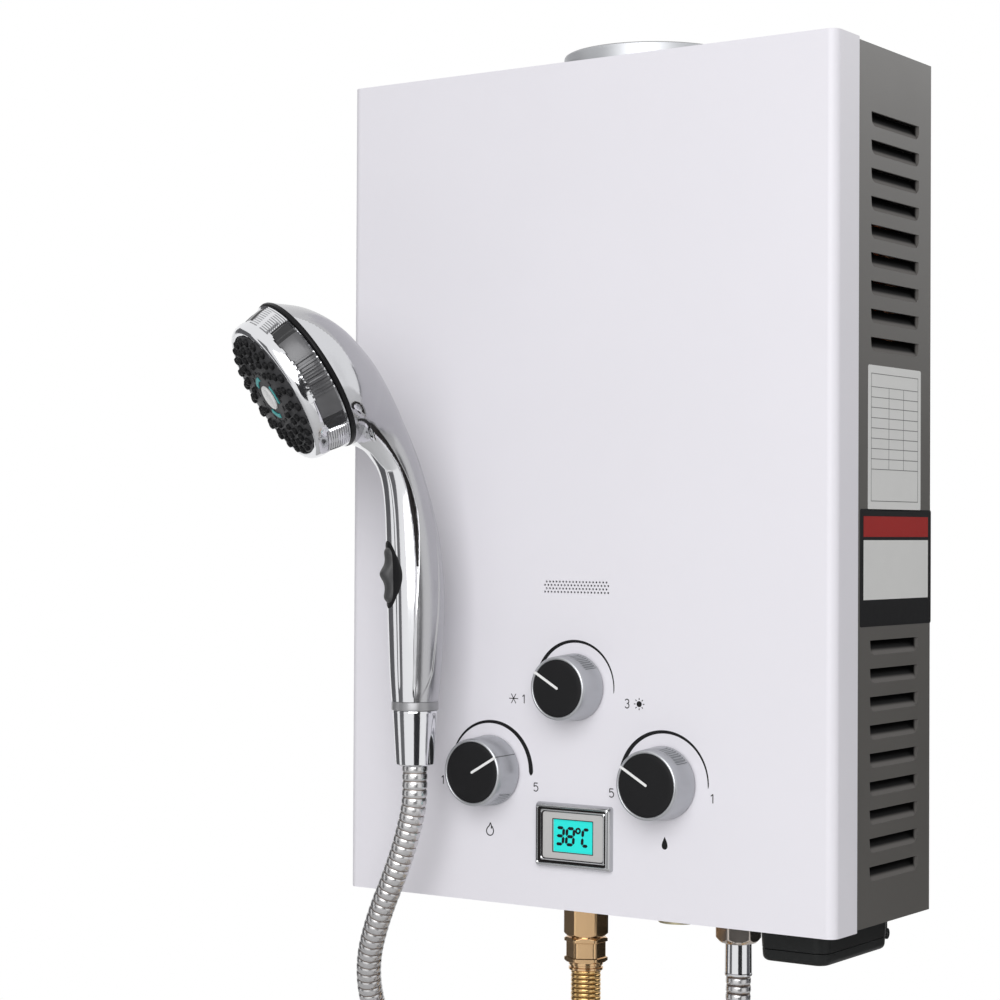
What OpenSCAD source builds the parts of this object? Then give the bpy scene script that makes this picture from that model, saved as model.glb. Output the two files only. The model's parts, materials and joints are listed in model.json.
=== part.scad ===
// Wall-hung portable gas water heater with a hand shower.
// Frame: X to the right, Y back into the wall, Z up.
// The origin is the centre of the wall hanger's hole, on the wall plane.

/* [Cabinet] */
// Width over the front cover
cabinet_w = 290; // [280:1:340]
// Height over the front cover
cabinet_h = 430; // [425:1:520]
// Depth from the wall to the cover's face
cabinet_d = 112; // [111:1:140]
// Depth of the wall hanger's hole below the cabinet's top
hanger_drop = 20; // [18:1:40]
// Depth of the front cover's side walls
cover_d = 24.2; // [20:0.1:30]
// Sheet thickness of the front cover
cover_t = 0.8; // [0.6:0.1:1.2]
// Gap between the cover and the case that it slides over
cover_gap = 0.2; // [0.1:0.05:0.4]
// Radius of the cover's upright front corners
corner_r = 5; // [4:0.5:14]
// Sheet thickness of the case and its panels
case_t = 1; // [0.8:0.1:1.4]
// Depth of the case that the cover overlaps
case_lap = 16; // [14:1:18]
// Outer radius of the case's upright bends at the back
case_r = 3; // [2:0.5:5]
// Height of the flanges folded on the top and bottom panels
flange_h = 12; // [10:1:16]

/* [Wall fixings] */
// Thickness of the hanger bracket and the wall rail
bracket_t = 2; // [1.8:0.1:3]
// Width of the hanger bracket
hanger_w = 60; // [50:1:90]
// Height of the hanger bracket
hanger_h = 36; // [30:1:50]
// Diameter of the hanger's hole
hanger_hole_d = 8; // [5:0.5:10]
// Length of the lower wall rail
rail_w = 240; // [220:1:270]
// Height of the lower wall rail
rail_h = 22; // [16:1:26]
// Height of the rail's screw holes above the cabinet's bottom
rail_up = 24; // [22:1:34]
// Distance between the rail's two screw holes
wall_screw_pitch = 200; // [150:1:204]
// Diameter of the rail's two screw holes
wall_screw_d = 6.4; // [4:0.1:7]

/* [Screws] */
// Diameter of the case screws
screw_d = 3.8; // [3:0.1:4.5]
// Diameter of their holes beyond the screws'
screw_play = 0.2; // [0.1:0.1:0.6]
// Diameter of the screws' heads
screw_head_d = 7; // [6:0.1:8]
// Height of the screws' heads
screw_head_h = 1.6; // [1.2:0.1:1.7]

/* [Louvres] */
// Length of a louvre
louvre_l = 54; // [30:1:58]
// Height of a louvre's window
louvre_h = 7; // [5:0.5:9]
// Distance between louvres
louvre_pitch = 13.7; // [11:0.1:14]
// Louvres in each group
louvre_n = 9; // [4:1:9]
// How far a louvre's upper edge is pressed in
louvre_in = 4.5; // [3:0.5:5]
// Depth of the first louvre's upper edge below the cabinet's top
louvre_drop = 33.8; // [28:0.1:44]
// Height of the lower group's first upper edge above the bottom
louvre_up = 139.3; // [130:0.1:150]
// Distance from the louvres' back ends to the case's back
louvre_back = 16.6; // [10:0.1:20]

/* [Front vent] */
// Holes in the vent's longer rows
vent_n = 20; // [10:1:24]
// Rows of holes in the vent
vent_rows = 4; // [2:1:5]
// Distance between the holes of a row
vent_pitch = 2; // [1.8:0.1:3]
// Diameter of the vent's holes
vent_hole_d = 1.2; // [0.8:0.1:1.4]
// Height of the vent above the cabinet's bottom
vent_up = 163.3; // [150:0.1:190]

/* [Flue] */
// Diameter of the flue collar
flue_d = 92; // [84:1:94]
// Sheet thickness of the collar
flue_t = 0.8; // [0.6:0.1:1.5]
// How far the collar stands above the cabinet
flue_rise = 10; // [5:1:40]
// How much smaller the collar's radius is where it goes into the cabinet
flue_step = 1; // [0.6:0.1:1.5]
// Height of that step above the cabinet
flue_seat = 1; // [0.5:0.1:2]
// Distance of the flue's centre to the right of the middle
flue_x = 7; // [0:1:12]
// Distance of the flue's centre from the wall
flue_back = 52; // [51:0.5:55]

/* [Heat exchanger and burner] */
// Gap between the combustion chamber and the case, on the water pipes' side
chamber_gap = 46; // [44:0.5:50]
// Depth of the combustion chamber
chamber_d = 94; // [92:1:96]
// Height of the burner's underside above the cabinet's bottom
burner_up = 182; // [178:1:205]
// Height of the finned part of the heat exchanger
exchanger_h = 34; // [28:1:40]
// Height of the draft hood
hood_h = 45; // [38:1:48]
// Sheet thickness of the chamber, the exchanger and the hood
copper_t = 1.2; // [0.8:0.1:1.6]
// Number of fins
fin_n = 18; // [8:1:22]
// Outer diameter of the water pipes
pipe_d = 14; // [12:0.5:15]
// Wall of the water pipes
pipe_t = 1; // [0.6:0.1:1.5]
// Bend radius of the exchanger's pipes and the water pipes
pipe_bend = 12; // [11:0.5:12.5]
// Distance of the side runs of the water pipes from the case's inside
pipe_in = 18; // [15:0.5:20]
// Number of burner blades
blade_n = 9; // [5:2:9]

/* [Knobs] */
// Diameter of the season knob at its base
season_d = 34; // [28:0.5:38]
// Height of the season knob above the cabinet's bottom
season_up = 113; // [108:1:120]
// Diameter of the gas and water knobs at their base
valve_knob_d = 36.5; // [30:0.5:40]
// Height of the gas and water knobs above the cabinet's bottom
valve_up = 68; // [66:1:72]
// Distance of the gas and water knobs from the middle
valve_x = 52; // [50:1:56]
// Length of the knobs
knob_l = 17; // [12:0.5:22]
// How much narrower a knob is at its face than at its base
knob_taper = 2.2; // [0:0.1:4]
// Width of the bright rim around a knob's black face
knob_rim = 1.5; // [1:0.1:3]
// Thickness of a knob's black face
knob_cap_t = 1.2; // [0.8:0.1:2]
// Gap between the knobs and the cover
knob_gap = 0.6; // [0.4:0.1:1.5]
// Diameter of the knobs' spindles
spindle_d = 6; // [5:0.5:8]
// Radial play of the spindles in the valves
spindle_play = 0.05; // [0.02:0.01:0.1]

/* [Display] */
// Width of the display's bezel
bezel_w = 45.2; // [40:0.1:56]
// Height of the display's bezel
bezel_h = 32.6; // [30:0.1:38]
// How far the bezel stands out of the cover
bezel_rise = 4; // [2:0.5:6]
// Width of the bezel's frame
bezel_rim = 4.5; // [3:0.1:5]
// Width of the lit screen
screen_w = 23.7; // [18:0.1:26]
// Height of the lit screen
screen_h = 16.3; // [12:0.1:18]
// Height of the display above the cabinet's bottom
display_up = 37.7; // [34:0.1:42]

/* [Gas and water fittings] */
// Distance of the fittings from the wall
fitting_back = 50; // [49:0.5:52]
// Place of the gas fitting, from the middle
gas_x = -33; // [-36:1:-32]
// Place of the cold water inlet, from the middle
cold_x = 24; // [22:0.5:27]
// Place of the hot water outlet, from the middle
hot_x = 59.5; // [58:0.5:62]
// Diameter of the water threads
thread_d = 20.8; // [18:0.1:21]
// Bore of the water fittings
thread_bore = 13; // [8:0.5:14]
// How far the cold water inlet stands out below the bottom panel
inlet_l = 12; // [10:1:16]
// Size of the gas hexagons across their flats
gas_hex = 22; // [19:0.5:24]
// Length of the gas inlet adapter's hexagon
gas_hex_l = 24.5; // [18:0.5:30]
// Length of the gas hose's nut
gas_nut_l = 13; // [10:0.5:18]
// Size of the hot water nut across its flats
outlet_hex = 20; // [19:0.5:22]
// Length of the hot water nut
outlet_nut_l = 19; // [14:0.5:24]

/* [Battery box] */
// Width of the battery box
battery_w = 38; // [37:0.5:44]
// Depth of the battery box
battery_l = 74; // [73:0.5:76]
// Distance of the battery box's middle from the case's inside
battery_in = 34.5; // [31:0.5:36]
// Distance of the battery box's middle from the wall
battery_back = 50; // [49.5:0.5:51]
// Wall of the battery box
battery_t = 1.6; // [1.2:0.1:2]
// How far the battery box stands out below the cabinet, without its cap
battery_drop = 12.5; // [8:0.5:16]
// Thickness of the battery box's cap
door_t = 6; // [4.5:0.5:8]
// Diameter of a cell
cell_d = 33; // [30:0.5:33.5]
// Length of a cell
cell_l = 60; // [56:0.5:61.5]
// Radius of the battery box's corners
battery_r = 7; // [3:0.5:8]
// Diameter of the hinge pin
hinge_pin_d = 3; // [2:0.1:3.2]

/* [Hoses] */
// Outer diameter of the shower hose
shower_d = 13; // [11:0.5:14]
// Bore of the shower hose
shower_bore = 8; // [6:0.5:9]
// Outer diameter of the gas hose
gas_d = 16; // [14:0.5:17]
// Bore of the gas hose
gas_bore = 11; // [8:0.5:12]
// Radius of the shower hose's coil, at the middle of its turns
shower_coil_r = 72; // [66:1:76]
// Step of the shower hose's coil from turn to turn
shower_coil_step = 14.4; // [14:0.1:15]
// Radius of the gas hose's loop, at the middle of the hose
gas_coil_r = 92; // [84:1:94]
// Step of the gas hose's loop
gas_coil_step = 24; // [23:0.5:26]

/* [Hand shower] */
// Wall of the hand shower's shell
shell_t = 3; // [2:0.1:3.4]
// Diameter of the head at its seal
head_d = 83; // [80:0.5:88]
// Diameter of the selector ring at its face
selector_d = 74; // [70:0.5:78]
// Depth of the selector ring
selector_h = 19.5; // [16:0.5:24]
// Thickness of the seal ring
seal_t = 2.6; // [2:0.1:4]
// Nozzles in the spray face's outer ring
nozzle_n = 16; // [8:1:20]
// Length of the thumb switch
switch_l = 30; // [24:0.5:32]
// Width of the thumb switch
switch_w = 11; // [8:0.5:12]
// Travel of the thumb switch, each way
switch_travel = 3; // [1:0.5:3.5]
// Length of the grey collar
collar_l = 4.6; // [3:0.1:8]
// Length of the tapered hose nut
hose_nut_l = 28; // [20:0.5:30]
// Diameter of the tapered hose nut at its top
hose_nut_d = 23; // [20:0.5:24]

/* [Hidden] */

$fn = 64;
fine = 96;        // segments of the largest circles
eps = 0.3;        // overlap of solids that join, and overshoot of cuts
slip = 0.3;       // gap between pieces that move past each other
touch = 0.05;     // gap between still pieces, one inside the other

// Cabinet planes
top_z = hanger_drop;
bottom_z = hanger_drop - cabinet_h;
face_y = -cabinet_d;
seam_y = face_y + cover_d;
back_y = -bracket_t;
case_x = cabinet_w / 2 - cover_t - cover_gap;
case_top = top_z - cover_t - cover_gap;
case_bottom = bottom_z + cover_t + cover_gap;
case_front = seam_y - case_lap;
inner_x = case_x - case_t;
inner_back = back_y - case_t;
panel_floor = case_bottom + case_t;

// Wall fixings and screws
rail_z = bottom_z + rail_up;
screw_hole_d = screw_d + screw_play;
screw_l = 7;
lap_screw_y = seam_y - case_lap / 4;
lap_screw_x = cabinet_w / 2 - 34;
flange_screw_x = cabinet_w / 2 - 35;
flange_screw_z = [case_top - flange_h / 2, case_bottom + flange_h / 2];
hanger_rivet_x = hanger_w / 2 - 8;
rail_rivet_x = rail_w / 4;
hanger_access_d = 2 * hanger_hole_d;

// Louvres: places of their upper edges, and the Y range that they share
louvre_tops = concat(
  [for (i = [0:louvre_n - 1]) top_z - louvre_drop - i * louvre_pitch],
  [for (i = [0:louvre_n - 1]) bottom_z + louvre_up - i * louvre_pitch]
);
louvre_y1 = back_y - louvre_back;
louvre_y0 = louvre_y1 - louvre_l;
louvre_r = 4.5;

// Flue, heat exchanger and burner, from the top down
flue_y = -flue_back;
collar_bottom = case_top - 15;
hood_top = collar_bottom;
exchanger_top = hood_top - hood_h;
chamber_top = exchanger_top - exchanger_h;
burner_bottom = bottom_z + burner_up;
blade_h = 28;
blade_top = burner_bottom + blade_h;
chamber_bottom = blade_top + 8;
chamber_h = chamber_top - chamber_bottom;
chamber_w = 2 * (inner_x - chamber_gap - flue_x);
chamber_y0 = flue_y - chamber_d / 2;
chamber_y1 = flue_y + chamber_d / 2;
chamber_x0 = flue_x - chamber_w / 2;
chamber_x1 = flue_x + chamber_w / 2;
pipe_r = pipe_d / 2;
pipe_side = inner_x - pipe_in;
tube_z = exchanger_top - exchanger_h / 2;
tube_y = [for (i = [-1.5:1:1.5]) flue_y + 2 * pipe_bend * i];
tube_end = chamber_x1 + 8;
blade_w = 8;
blade_pitch = chamber_w / (blade_n + 1);
blade_x = [for (i = [0:blade_n - 1]) flue_x + (i - (blade_n - 1) / 2) * blade_pitch];
rail_y = [chamber_y0 + 5, chamber_y1 - 5];
manifold_r = 7;
nozzle_l = 8;
manifold_z = burner_bottom - 3 - nozzle_l - manifold_r;

// Knobs and valves
season_z = bottom_z + season_up;
valve_z = bottom_z + valve_up;
valve_front = face_y + cover_t + 11.2;
valve_back = valve_front + 34;
spindle_y = valve_front + 17;
manifold_y = spindle_y;
rod_y = valve_front + 22;
rod_r = 2.5;
nose_d = 30;
diaphragm_d = 42;
season_body_d = 28;
riser_d = 12;
gas_way_d = 10;
knob_y = face_y - knob_gap;
hub_d = spindle_d + 5;
spindle_flat = spindle_d / 2 - 0.8;
gas_valve_x0 = -valve_x - 22;
gas_valve_x1 = gas_x + 5;
water_valve_x0 = valve_x - 16;
water_valve_x1 = valve_x + 14;
diaphragm_x0 = water_valve_x0 - 12;
valve_top = valve_z + 26;
valve_bottom = valve_z - 24;
arm_h = 20;
controller_in = 12;
controller_w = 46;
controller_d = 36;
controller_top = season_z - 6;

// Display
display_z = bottom_z + display_up;
window_w = bezel_w - 2 * bezel_rim;
window_h = bezel_h - 2 * bezel_rim;
window_t = 1;
window_y = face_y - bezel_rise + 1.6;
screen_y = window_y + window_t;
module_y = face_y + 8;

// Fittings, from the bottom panel down
fitting_y = -fitting_back;
thread_relief = 0.8;
thread_top = case_bottom - 1;
gas_hex_z = case_bottom - gas_hex_l;
gas_nut_z = gas_hex_z - 0.8 - gas_nut_l;
ferrule_l = 4.5;
outlet_nut_z = case_bottom - outlet_nut_l;
outlet_ferrule_l = 13;
outlet_block_z = case_bottom + 17;
outlet_block_y1 = tube_y[3] + pipe_r + 2;

// Battery box
battery_x = inner_x - battery_in;
battery_y = -battery_back;
battery_bottom = bottom_z - battery_drop;
battery_roof = battery_bottom + cell_l + 8.5;
door_top = battery_bottom - slip;
knuckle_r = hinge_pin_d / 2 + 1.3;
hinge_y = battery_y + battery_l / 2 + knuckle_r + 0.4;
hinge_z = battery_bottom - slip / 2;
hinge_w = 30;
hinge_mid = 14;
cell_y = [battery_y - cell_d / 2 - 0.5, battery_y + cell_d / 2 + 0.5];
cell_z = battery_bottom + 1.5;

// Hoses: the coils' centres, and where each free stretch starts and ends
gas_hose_top = gas_nut_z - ferrule_l;
gas_coil_z = -600;
gas_run_end = gas_coil_z + gas_d;
gas_tail = gas_coil_z - gas_d;
gas_nut_bottom = gas_tail - ferrule_l - 24;
shower_hose_top = outlet_nut_z - outlet_ferrule_l;
shower_coil_z = -570;
shower_turns = 2.5;
shower_coil_x = 40 - shower_coil_r;
shower_coil_y = -72;
gas_ribs = 47;
lower_ribs = 27;
upper_ribs = 56;
loop_rings = 24;

// Shower hose: from the hot water outlet to the coil
lower_route = [
  [hot_x, fitting_y, shower_hose_top],
  [hot_x, fitting_y, -454],
  [58.8, -50.8, -465],
  [56.7, -53.2, -476],
  [53.5, -56.8, -488],
  [49.8, -61, -499],
  [46, -65.2, -510],
  [42.8, -68.8, -522],
  [40.7, -71.2, -533],
  [40, shower_coil_y, -544],
  [40, shower_coil_y, shower_coil_z + shower_d]
];
shower_end_x = 40 - 2 * shower_coil_r;
shower_end_y = shower_coil_y - shower_turns * shower_coil_step;

// Hand shower: axis of its grip, and the bottom of its collar
hand_x = -75;
hand_y = face_y - 35;
hand_z = -310;
hand_turn = -123.5;
head_tilt = 32;
head_u = 58;
head_z = 170;
hose_end_z = hand_z - hose_nut_l;

// Shower hose: from the coil up to the hand shower
upper_route = [
  [shower_end_x, shower_end_y, shower_coil_z + shower_d],
  [shower_end_x, shower_end_y, -544],
  [-104.8, -109.5, -530],
  [-107.5, -113.5, -514],
  [-110.8, -119, -498],
  [-113, -125, -482],
  [-113.2, -131, -467],
  [-111.8, -136.5, -453],
  [-108, -141, -439],
  [-102, -144.3, -425],
  [-95.2, -146.3, -411],
  [-88.8, -147, -398],
  [-83, hand_y, -384],
  [-78.6, hand_y, -371],
  [-75.8, hand_y, -360],
  [hand_x, hand_y, -351],
  [hand_x, hand_y, hose_end_z]
];

// Profile of the hand shower: back point, front point and half width of each
// section, from the collar to the seal; U runs forwards and Z up from hand_z.
shell_sections = [
  [[-11.9, collar_l], [12.1, collar_l], 12],
  [[-13.9, 20], [13.2, 20], 13.4],
  [[-15.2, 48], [14.4, 50], 14.6],
  [[-14.7, 67], [14.9, 70], 14.6],
  [[-12.3, 87], [15.6, 91], 14],
  [[-9.4, 100], [16.3, 104], 13.4],
  [[-5.6, 113], [17.7, 115], 13],
  [[-0.8, 127], [20.5, 123], 13.2],
  [[5.8, 142], [26, 130.5], 15],
  [[13.3, 157], [30.4, 133.4], 19],
  [[22.6, 171.5], [33, 134.4], 25],
  [[31.9, 182.6], [34.6, 134.8], 31],
  [[46, 195.2], [35.5, 135], 36.5],
  [[62, 202.8], [36, 135.1], 40],
  [[head_u + 41 * sin(head_tilt), head_z + 41 * cos(head_tilt)],
   [head_u - 41 * sin(head_tilt), head_z - 41 * cos(head_tilt)], 41]
];
shell_sides = 24;
switch_z = 69;
switch_floor = 12.6;
saddle_z = 40;
saddle_h = 22;
saddle_r = 15.9;
saddle_t = 2.6;
saddle_turn = 126.8;
peg_d = 5;

// ---------- shared shapes ----------

// Rectangle with round corners, centred
module rounded_rect(w, h, r) {
  square([w - 2 * r, h], center = true);
  square([w, h - 2 * r], center = true);
  for (sx = [-1, 1], sy = [-1, 1])
    translate([sx * (w / 2 - r), sy * (h / 2 - r)]) circle(r, $fn = 32);
}

// A flat outline in X and Z, made solid from y0 to y1
module along_y(y0, y1) {
  translate([0, y1, 0]) rotate([90, 0, 0]) linear_extrude(y1 - y0) children();
}

// A flat outline in Y and Z, made solid from x0 to x1
module along_x(x0, x1) {
  translate([x0, 0, 0]) rotate([90, 0, 90]) linear_extrude(x1 - x0) children();
}

// A box between two corners
module block(a, b) {
  translate(a) cube(b - a);
}

// A round bar along Y at (x, z)
module bar_y(x, z, d, y0, y1) {
  translate([x, y1, z]) rotate([90, 0, 0]) cylinder(d = d, h = y1 - y0);
}

// A round bar along X at (y, z)
module bar_x(y, z, d, x0, x1) {
  translate([x0, y, z]) rotate([0, 90, 0]) cylinder(d = d, h = x1 - x0);
}

// A round bar along Z at (x, y)
module bar_z(x, y, d, z0, z1) {
  translate([x, y, z0]) cylinder(d = d, h = z1 - z0);
}

// A hexagonal bar along Z, sized across its flats, flats facing the front
module hex_z(x, y, flats, z0, z1) {
  translate([x, y, z0]) cylinder(d = flats / cos(30), h = z1 - z0, $fn = 6);
}

// A round bend in the X-Z plane about (x, z), from angle a0 through a quarter turn
module bend_xz(x, y, z, r, a0) {
  translate([x, y, z]) rotate([90, 0, 0]) rotate([0, 0, a0])
    rotate_extrude(angle = 90, $fn = fine) translate([pipe_bend, 0]) circle(r);
}

// ---------- swept tubes ----------

// Point at place u along a route, on a smooth curve through its points
function route_at(route, u) =
  let (n = len(route) - 1, i = min(n - 1, floor(u)), t = u - i,
       b = route[i], c = route[i + 1],
       a = i > 0 ? route[i - 1] : 2 * b - c,
       d = i < n - 1 ? route[i + 2] : 2 * c - b)
  0.5 * (2 * b + t * (c - a) + t * t * (2 * a - 5 * b + 4 * c - d)
         + t * t * t * (3 * b - a - 3 * c + d));

function unit(v) = v / norm(v);

// Directions of a list of centres, from each one's neighbours
function headings(c) = [for (i = [0:len(c) - 1])
  unit(c[min(i + 1, len(c) - 1)] - c[max(i - 1, 0)])];

// Ring of points around a centre, square to a heading
function ring(c, heading, r, sides) =
  let (e = unit(cross(heading, [0, 1, 0])), f = cross(heading, e))
  [for (k = [0:sides - 1]) c + r * (cos(360 * k / sides) * e + sin(360 * k / sides) * f)];

// Triangles that join ring i to ring i + 1, from point number `first`
function band(first, i, sides, out) = [for (k = [0:sides - 1])
  let (a = first + i * sides + k, b = first + i * sides + (k + 1) % sides)
  each out ? [[a, b, b + sides], [a, b + sides, a + sides]]
           : [[a, b + sides, b], [a, a + sides, b + sides]]];

// Triangles between two rings that lie in one plane
function washer(p, q, sides, flip) = [for (k = [0:sides - 1])
  let (j = (k + 1) % sides)
  each flip ? [[p + k, p + j, q + j], [p + k, q + j, q + k]]
            : [[p + k, q + j, p + j], [p + k, q + k, q + j]]];

// Tube with its own list of centres and radii outside, and one inside
module swept_tube(outer, radii, inner, bore_r, sides) {
  ho = headings(outer);
  hi = headings(inner);
  outer_points = [for (i = [0:len(outer) - 1]) each ring(outer[i], ho[i], radii[i], sides)];
  inner_points = [for (i = [0:len(inner) - 1]) each ring(inner[i], hi[i], bore_r, sides)];
  first = len(outer_points);
  last_out = first - sides;
  last_in = first + len(inner_points) - sides;
  polyhedron(
    points = concat(outer_points, inner_points),
    faces = concat(
      [for (i = [0:len(outer) - 2]) each band(0, i, sides, true)],
      [for (i = [0:len(inner) - 2]) each band(first, i, sides, false)],
      washer(0, first, sides, false),
      washer(last_out, last_in, sides, true)
    )
  );
}

// Ribbed hose along a route: each rib is a narrow ring and a wide one
module ribbed_hose(route, d, depth, bore, ribs) {
  n = len(route) - 1;
  centres = [for (k = [0:2 * ribs]) route_at(route, n * k / (2 * ribs))];
  swept_tube(
    centres, [for (k = [0:2 * ribs]) k % 2 == 0 ? d / 2 - depth : d / 2],
    [for (k = [0:2 * n]) route_at(route, k / 2)], bore / 2, 8
  );
}

// Solid tube along a list of centres
module cord_tube(centres, r, sides) {
  h = headings(centres);
  n = len(centres);
  polyhedron(
    points = [for (i = [0:n - 1]) each ring(centres[i], h[i], r, sides)],
    faces = concat(
      [for (i = [0:n - 2]) each band(0, i, sides, true)],
      [[for (k = [sides - 1:-1:0]) k]],
      [[for (k = [0:sides - 1]) (n - 1) * sides + k]]
    )
  );
}

// Centres of a coil in the X-Z plane; it starts at angle a0, heading down,
// steps by `step` in Y each turn, and has a straight end of length `lead` on both sides
function coil_centres(x, y, z, r, turns, step, a0, way, lead, end_way) = concat(
  [[x + r * cos(a0), y, z + lead]],
  [for (k = [0:turns * loop_rings])
    let (a = a0 + way * 360 * k / loop_rings)
    [x + r * cos(a), y + step * k / loop_rings, z + r * sin(a)]],
  [let (a = a0 + way * 360 * turns)
    [x + r * cos(a), y + step * turns, z + end_way * lead]]
);

// Least gap between the turns of a coil, from its centres
function coil_gap(c, d) = min([for (i = [0:len(c) - 1], j = [0:len(c) - 1])
  if (j > i + loop_rings / 3) norm(c[j] - c[i]) - d]);

shower_coil_centres = coil_centres(
  shower_coil_x, shower_coil_y, shower_coil_z, shower_coil_r, shower_turns,
  -shower_coil_step, 0, -1, shower_d, 1);
gas_coil_centres = coil_centres(
  gas_x + gas_coil_r, fitting_y, gas_coil_z, gas_coil_r, 1,
  gas_coil_step, 180, 1, gas_d, -1);
echo("least gap between the turns of the shower hose", coil_gap(shower_coil_centres, shower_d));
echo("least gap between the turns of the gas hose", coil_gap(gas_coil_centres, gas_d));

// ---------- cabinet ----------

// Plan of the front cover, set in from its outside and open towards the back
module cover_plan(inset, back) {
  w = cabinet_w / 2 - inset;
  r = corner_r - inset;
  front = face_y + inset;
  translate([r - w, front]) square([2 * (w - r), back - front]);
  translate([-w, front + r]) square([2 * w, back - front - r]);
  for (s = [-1, 1]) translate([s * (w - r), front + r]) circle(r, $fn = fine);
}

// Staggered rows of round holes for the vent, in X and Z
module vent_holes() {
  for (row = [0:vent_rows - 1], i = [0:vent_n - 1 - row % 2])
    translate([
      (i - (vent_n - 1) / 2 + row % 2 / 2) * vent_pitch,
      bottom_z + vent_up + (row - (vent_rows - 1) / 2) * vent_pitch * sin(60)
    ]) circle(d = vent_hole_d, $fn = 8);
}

// Holes where the lap screws go through the cover and the panels under it
module lap_screw_holes() {
  for (s = [-1, 1])
    bar_z(s * lap_screw_x, lap_screw_y, screw_hole_d, bottom_z - 1, top_z + 1);
}

// Holes where the holder's two screws go through the cover
module holder_screw_places() {
  for (s = [-1, 1]) translate([pad_x, face_y, hand_z + saddle_z + s * 15]) children();
}

module front_cover() {
  color([0.9, 0.9, 0.92]) difference() {
    translate([0, 0, bottom_z]) linear_extrude(cabinet_h) cover_plan(0, seam_y);
    translate([0, 0, bottom_z + cover_t])
      linear_extrude(cabinet_h - 2 * cover_t) cover_plan(cover_t, seam_y + 1);
    bar_z(flue_x, flue_y, flue_d + 3, top_z - 5, top_z + 5);
    for (p = [[0, season_z], [-valve_x, valve_z], [valve_x, valve_z]])
      bar_y(p[0], p[1], spindle_d + 3, face_y - 1, face_y + 5);
    along_y(face_y - 1, face_y + 5)
      translate([0, display_z]) square([window_w + 4, window_h + 4], center = true);
    along_y(face_y - 1, face_y + 5) vent_holes();
    lap_screw_holes();
    holder_screw_places() bar_y(0, 0, screw_hole_d, -1, 5);
  }
}

// Plan from y0 back to y1 and x wide to both sides, its back corners of radius r
module back_bends(x, y0, y1, r) {
  translate([-x, y0]) square([2 * x, y1 - r - y0]);
  translate([r - x, y0]) square([2 * (x - r), y1 - y0]);
  for (s = [-1, 1]) translate([s * (x - r), y1 - r]) circle(r, $fn = 32);
}

// Windows, ramps and end cheeks of the pressed louvres, on the right side
module louvre_window(zt) {
  along_x(case_x - 5, case_x + 1)
    translate([(louvre_y0 + louvre_y1) / 2, zt - louvre_h / 2]) intersection() {
      square([louvre_l, louvre_h], center = true);
      translate([0, louvre_r]) rounded_rect(louvre_l, louvre_h + 2 * louvre_r, louvre_r);
    }
}

module louvre_scoop(zt) {
  zb = zt - louvre_h;
  x1 = case_x;
  x0 = case_x - louvre_in;
  difference() {
    along_y(louvre_y0 - eps, louvre_y1 + eps)
      polygon([[x1, zb - eps], [x1, zb], [x1 - case_t / 2, zt], [x0 - case_t, zt], [x1 - case_t, zb - eps]]);
    along_y(louvre_y0 + case_t, louvre_y1 - case_t)
      polygon([[x1 + 1, zb], [x1, zb], [x0, zt], [x0, zt + 1], [x1 + 1, zt + 1]]);
  }
}

module rear_case() {
  color([0.42, 0.41, 0.4]) {
    difference() {
      translate([0, 0, case_bottom]) linear_extrude(case_top - case_bottom) difference() {
        back_bends(case_x, case_front, back_y, case_r);
        back_bends(inner_x, case_front - 1, inner_back, case_r - case_t);
      }
      for (m = [0, 1], zt = louvre_tops) mirror([m, 0, 0]) louvre_window(zt);
      bar_y(0, 0, hanger_access_d, inner_back - 1, 1);
      for (s = [-1, 1]) {
        bar_y(s * wall_screw_pitch / 2, rail_z, wall_screw_d, inner_back - 1, 1);
        bar_y(s * hanger_rivet_x, 0, screw_hole_d, inner_back - 1, 1);
        bar_y(s * rail_rivet_x, rail_z, screw_hole_d, inner_back - 1, 1);
        for (z = flange_screw_z) bar_y(s * flange_screw_x, z, screw_hole_d, inner_back - 1, 1);
      }
    }
    for (m = [0, 1], zt = louvre_tops) mirror([m, 0, 0]) louvre_scoop(zt);
  }
}

// Flat panel with a flange folded at its back; z0 is its outer face, way is
// the direction of the flange
module folded_panel(z0, way) {
  x = inner_x - touch;
  y = inner_back - touch;
  mirror([0, 0, way > 0 ? 0 : 1]) translate([0, 0, way * z0]) difference() {
    union() {
      linear_extrude(case_t) back_bends(x, case_front, y, case_r - case_t - touch);
      block([case_r - x, y - case_t, 0], [x - case_r, y, flange_h]);
    }
    for (s = [-1, 1]) {
      bar_y(s * flange_screw_x, flange_h / 2, screw_hole_d, y - 5, y + 1);
      bar_z(s * lap_screw_x, lap_screw_y, screw_hole_d, -1, case_t + 1);
    }
  }
}

module top_panel() {
  color([0.42, 0.41, 0.4]) difference() {
    folded_panel(case_top, -1);
    bar_z(flue_x, flue_y, flue_d - 2 * flue_step + 2 * touch, case_top - 5, case_top + 1);
    bar_y(0, 0, hanger_access_d + 2, inner_back - 5, 1);
  }
}

module bottom_panel() {
  color([0.42, 0.41, 0.4]) difference() {
    folded_panel(case_bottom, 1);
    for (x = [gas_x, cold_x, hot_x])
      bar_z(x, fitting_y, thread_d + 2 * touch, case_bottom - 1, panel_floor + 1);
    translate([battery_x, battery_y, case_bottom - 1]) linear_extrude(case_t + 2)
      rounded_rect(battery_w + 2 * touch, battery_l + 2 * touch, battery_r + touch);
  }
}

module hanger_bracket() {
  color([0.62, 0.63, 0.64]) difference() {
    along_y(back_y, 0) translate([0, -hanger_h / 2 + 14]) rounded_rect(hanger_w, hanger_h, 4);
    bar_y(0, 0, hanger_hole_d, back_y - 1, 1);
    for (s = [-1, 1]) bar_y(s * hanger_rivet_x, 0, screw_hole_d, back_y - 1, 1);
  }
}

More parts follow.
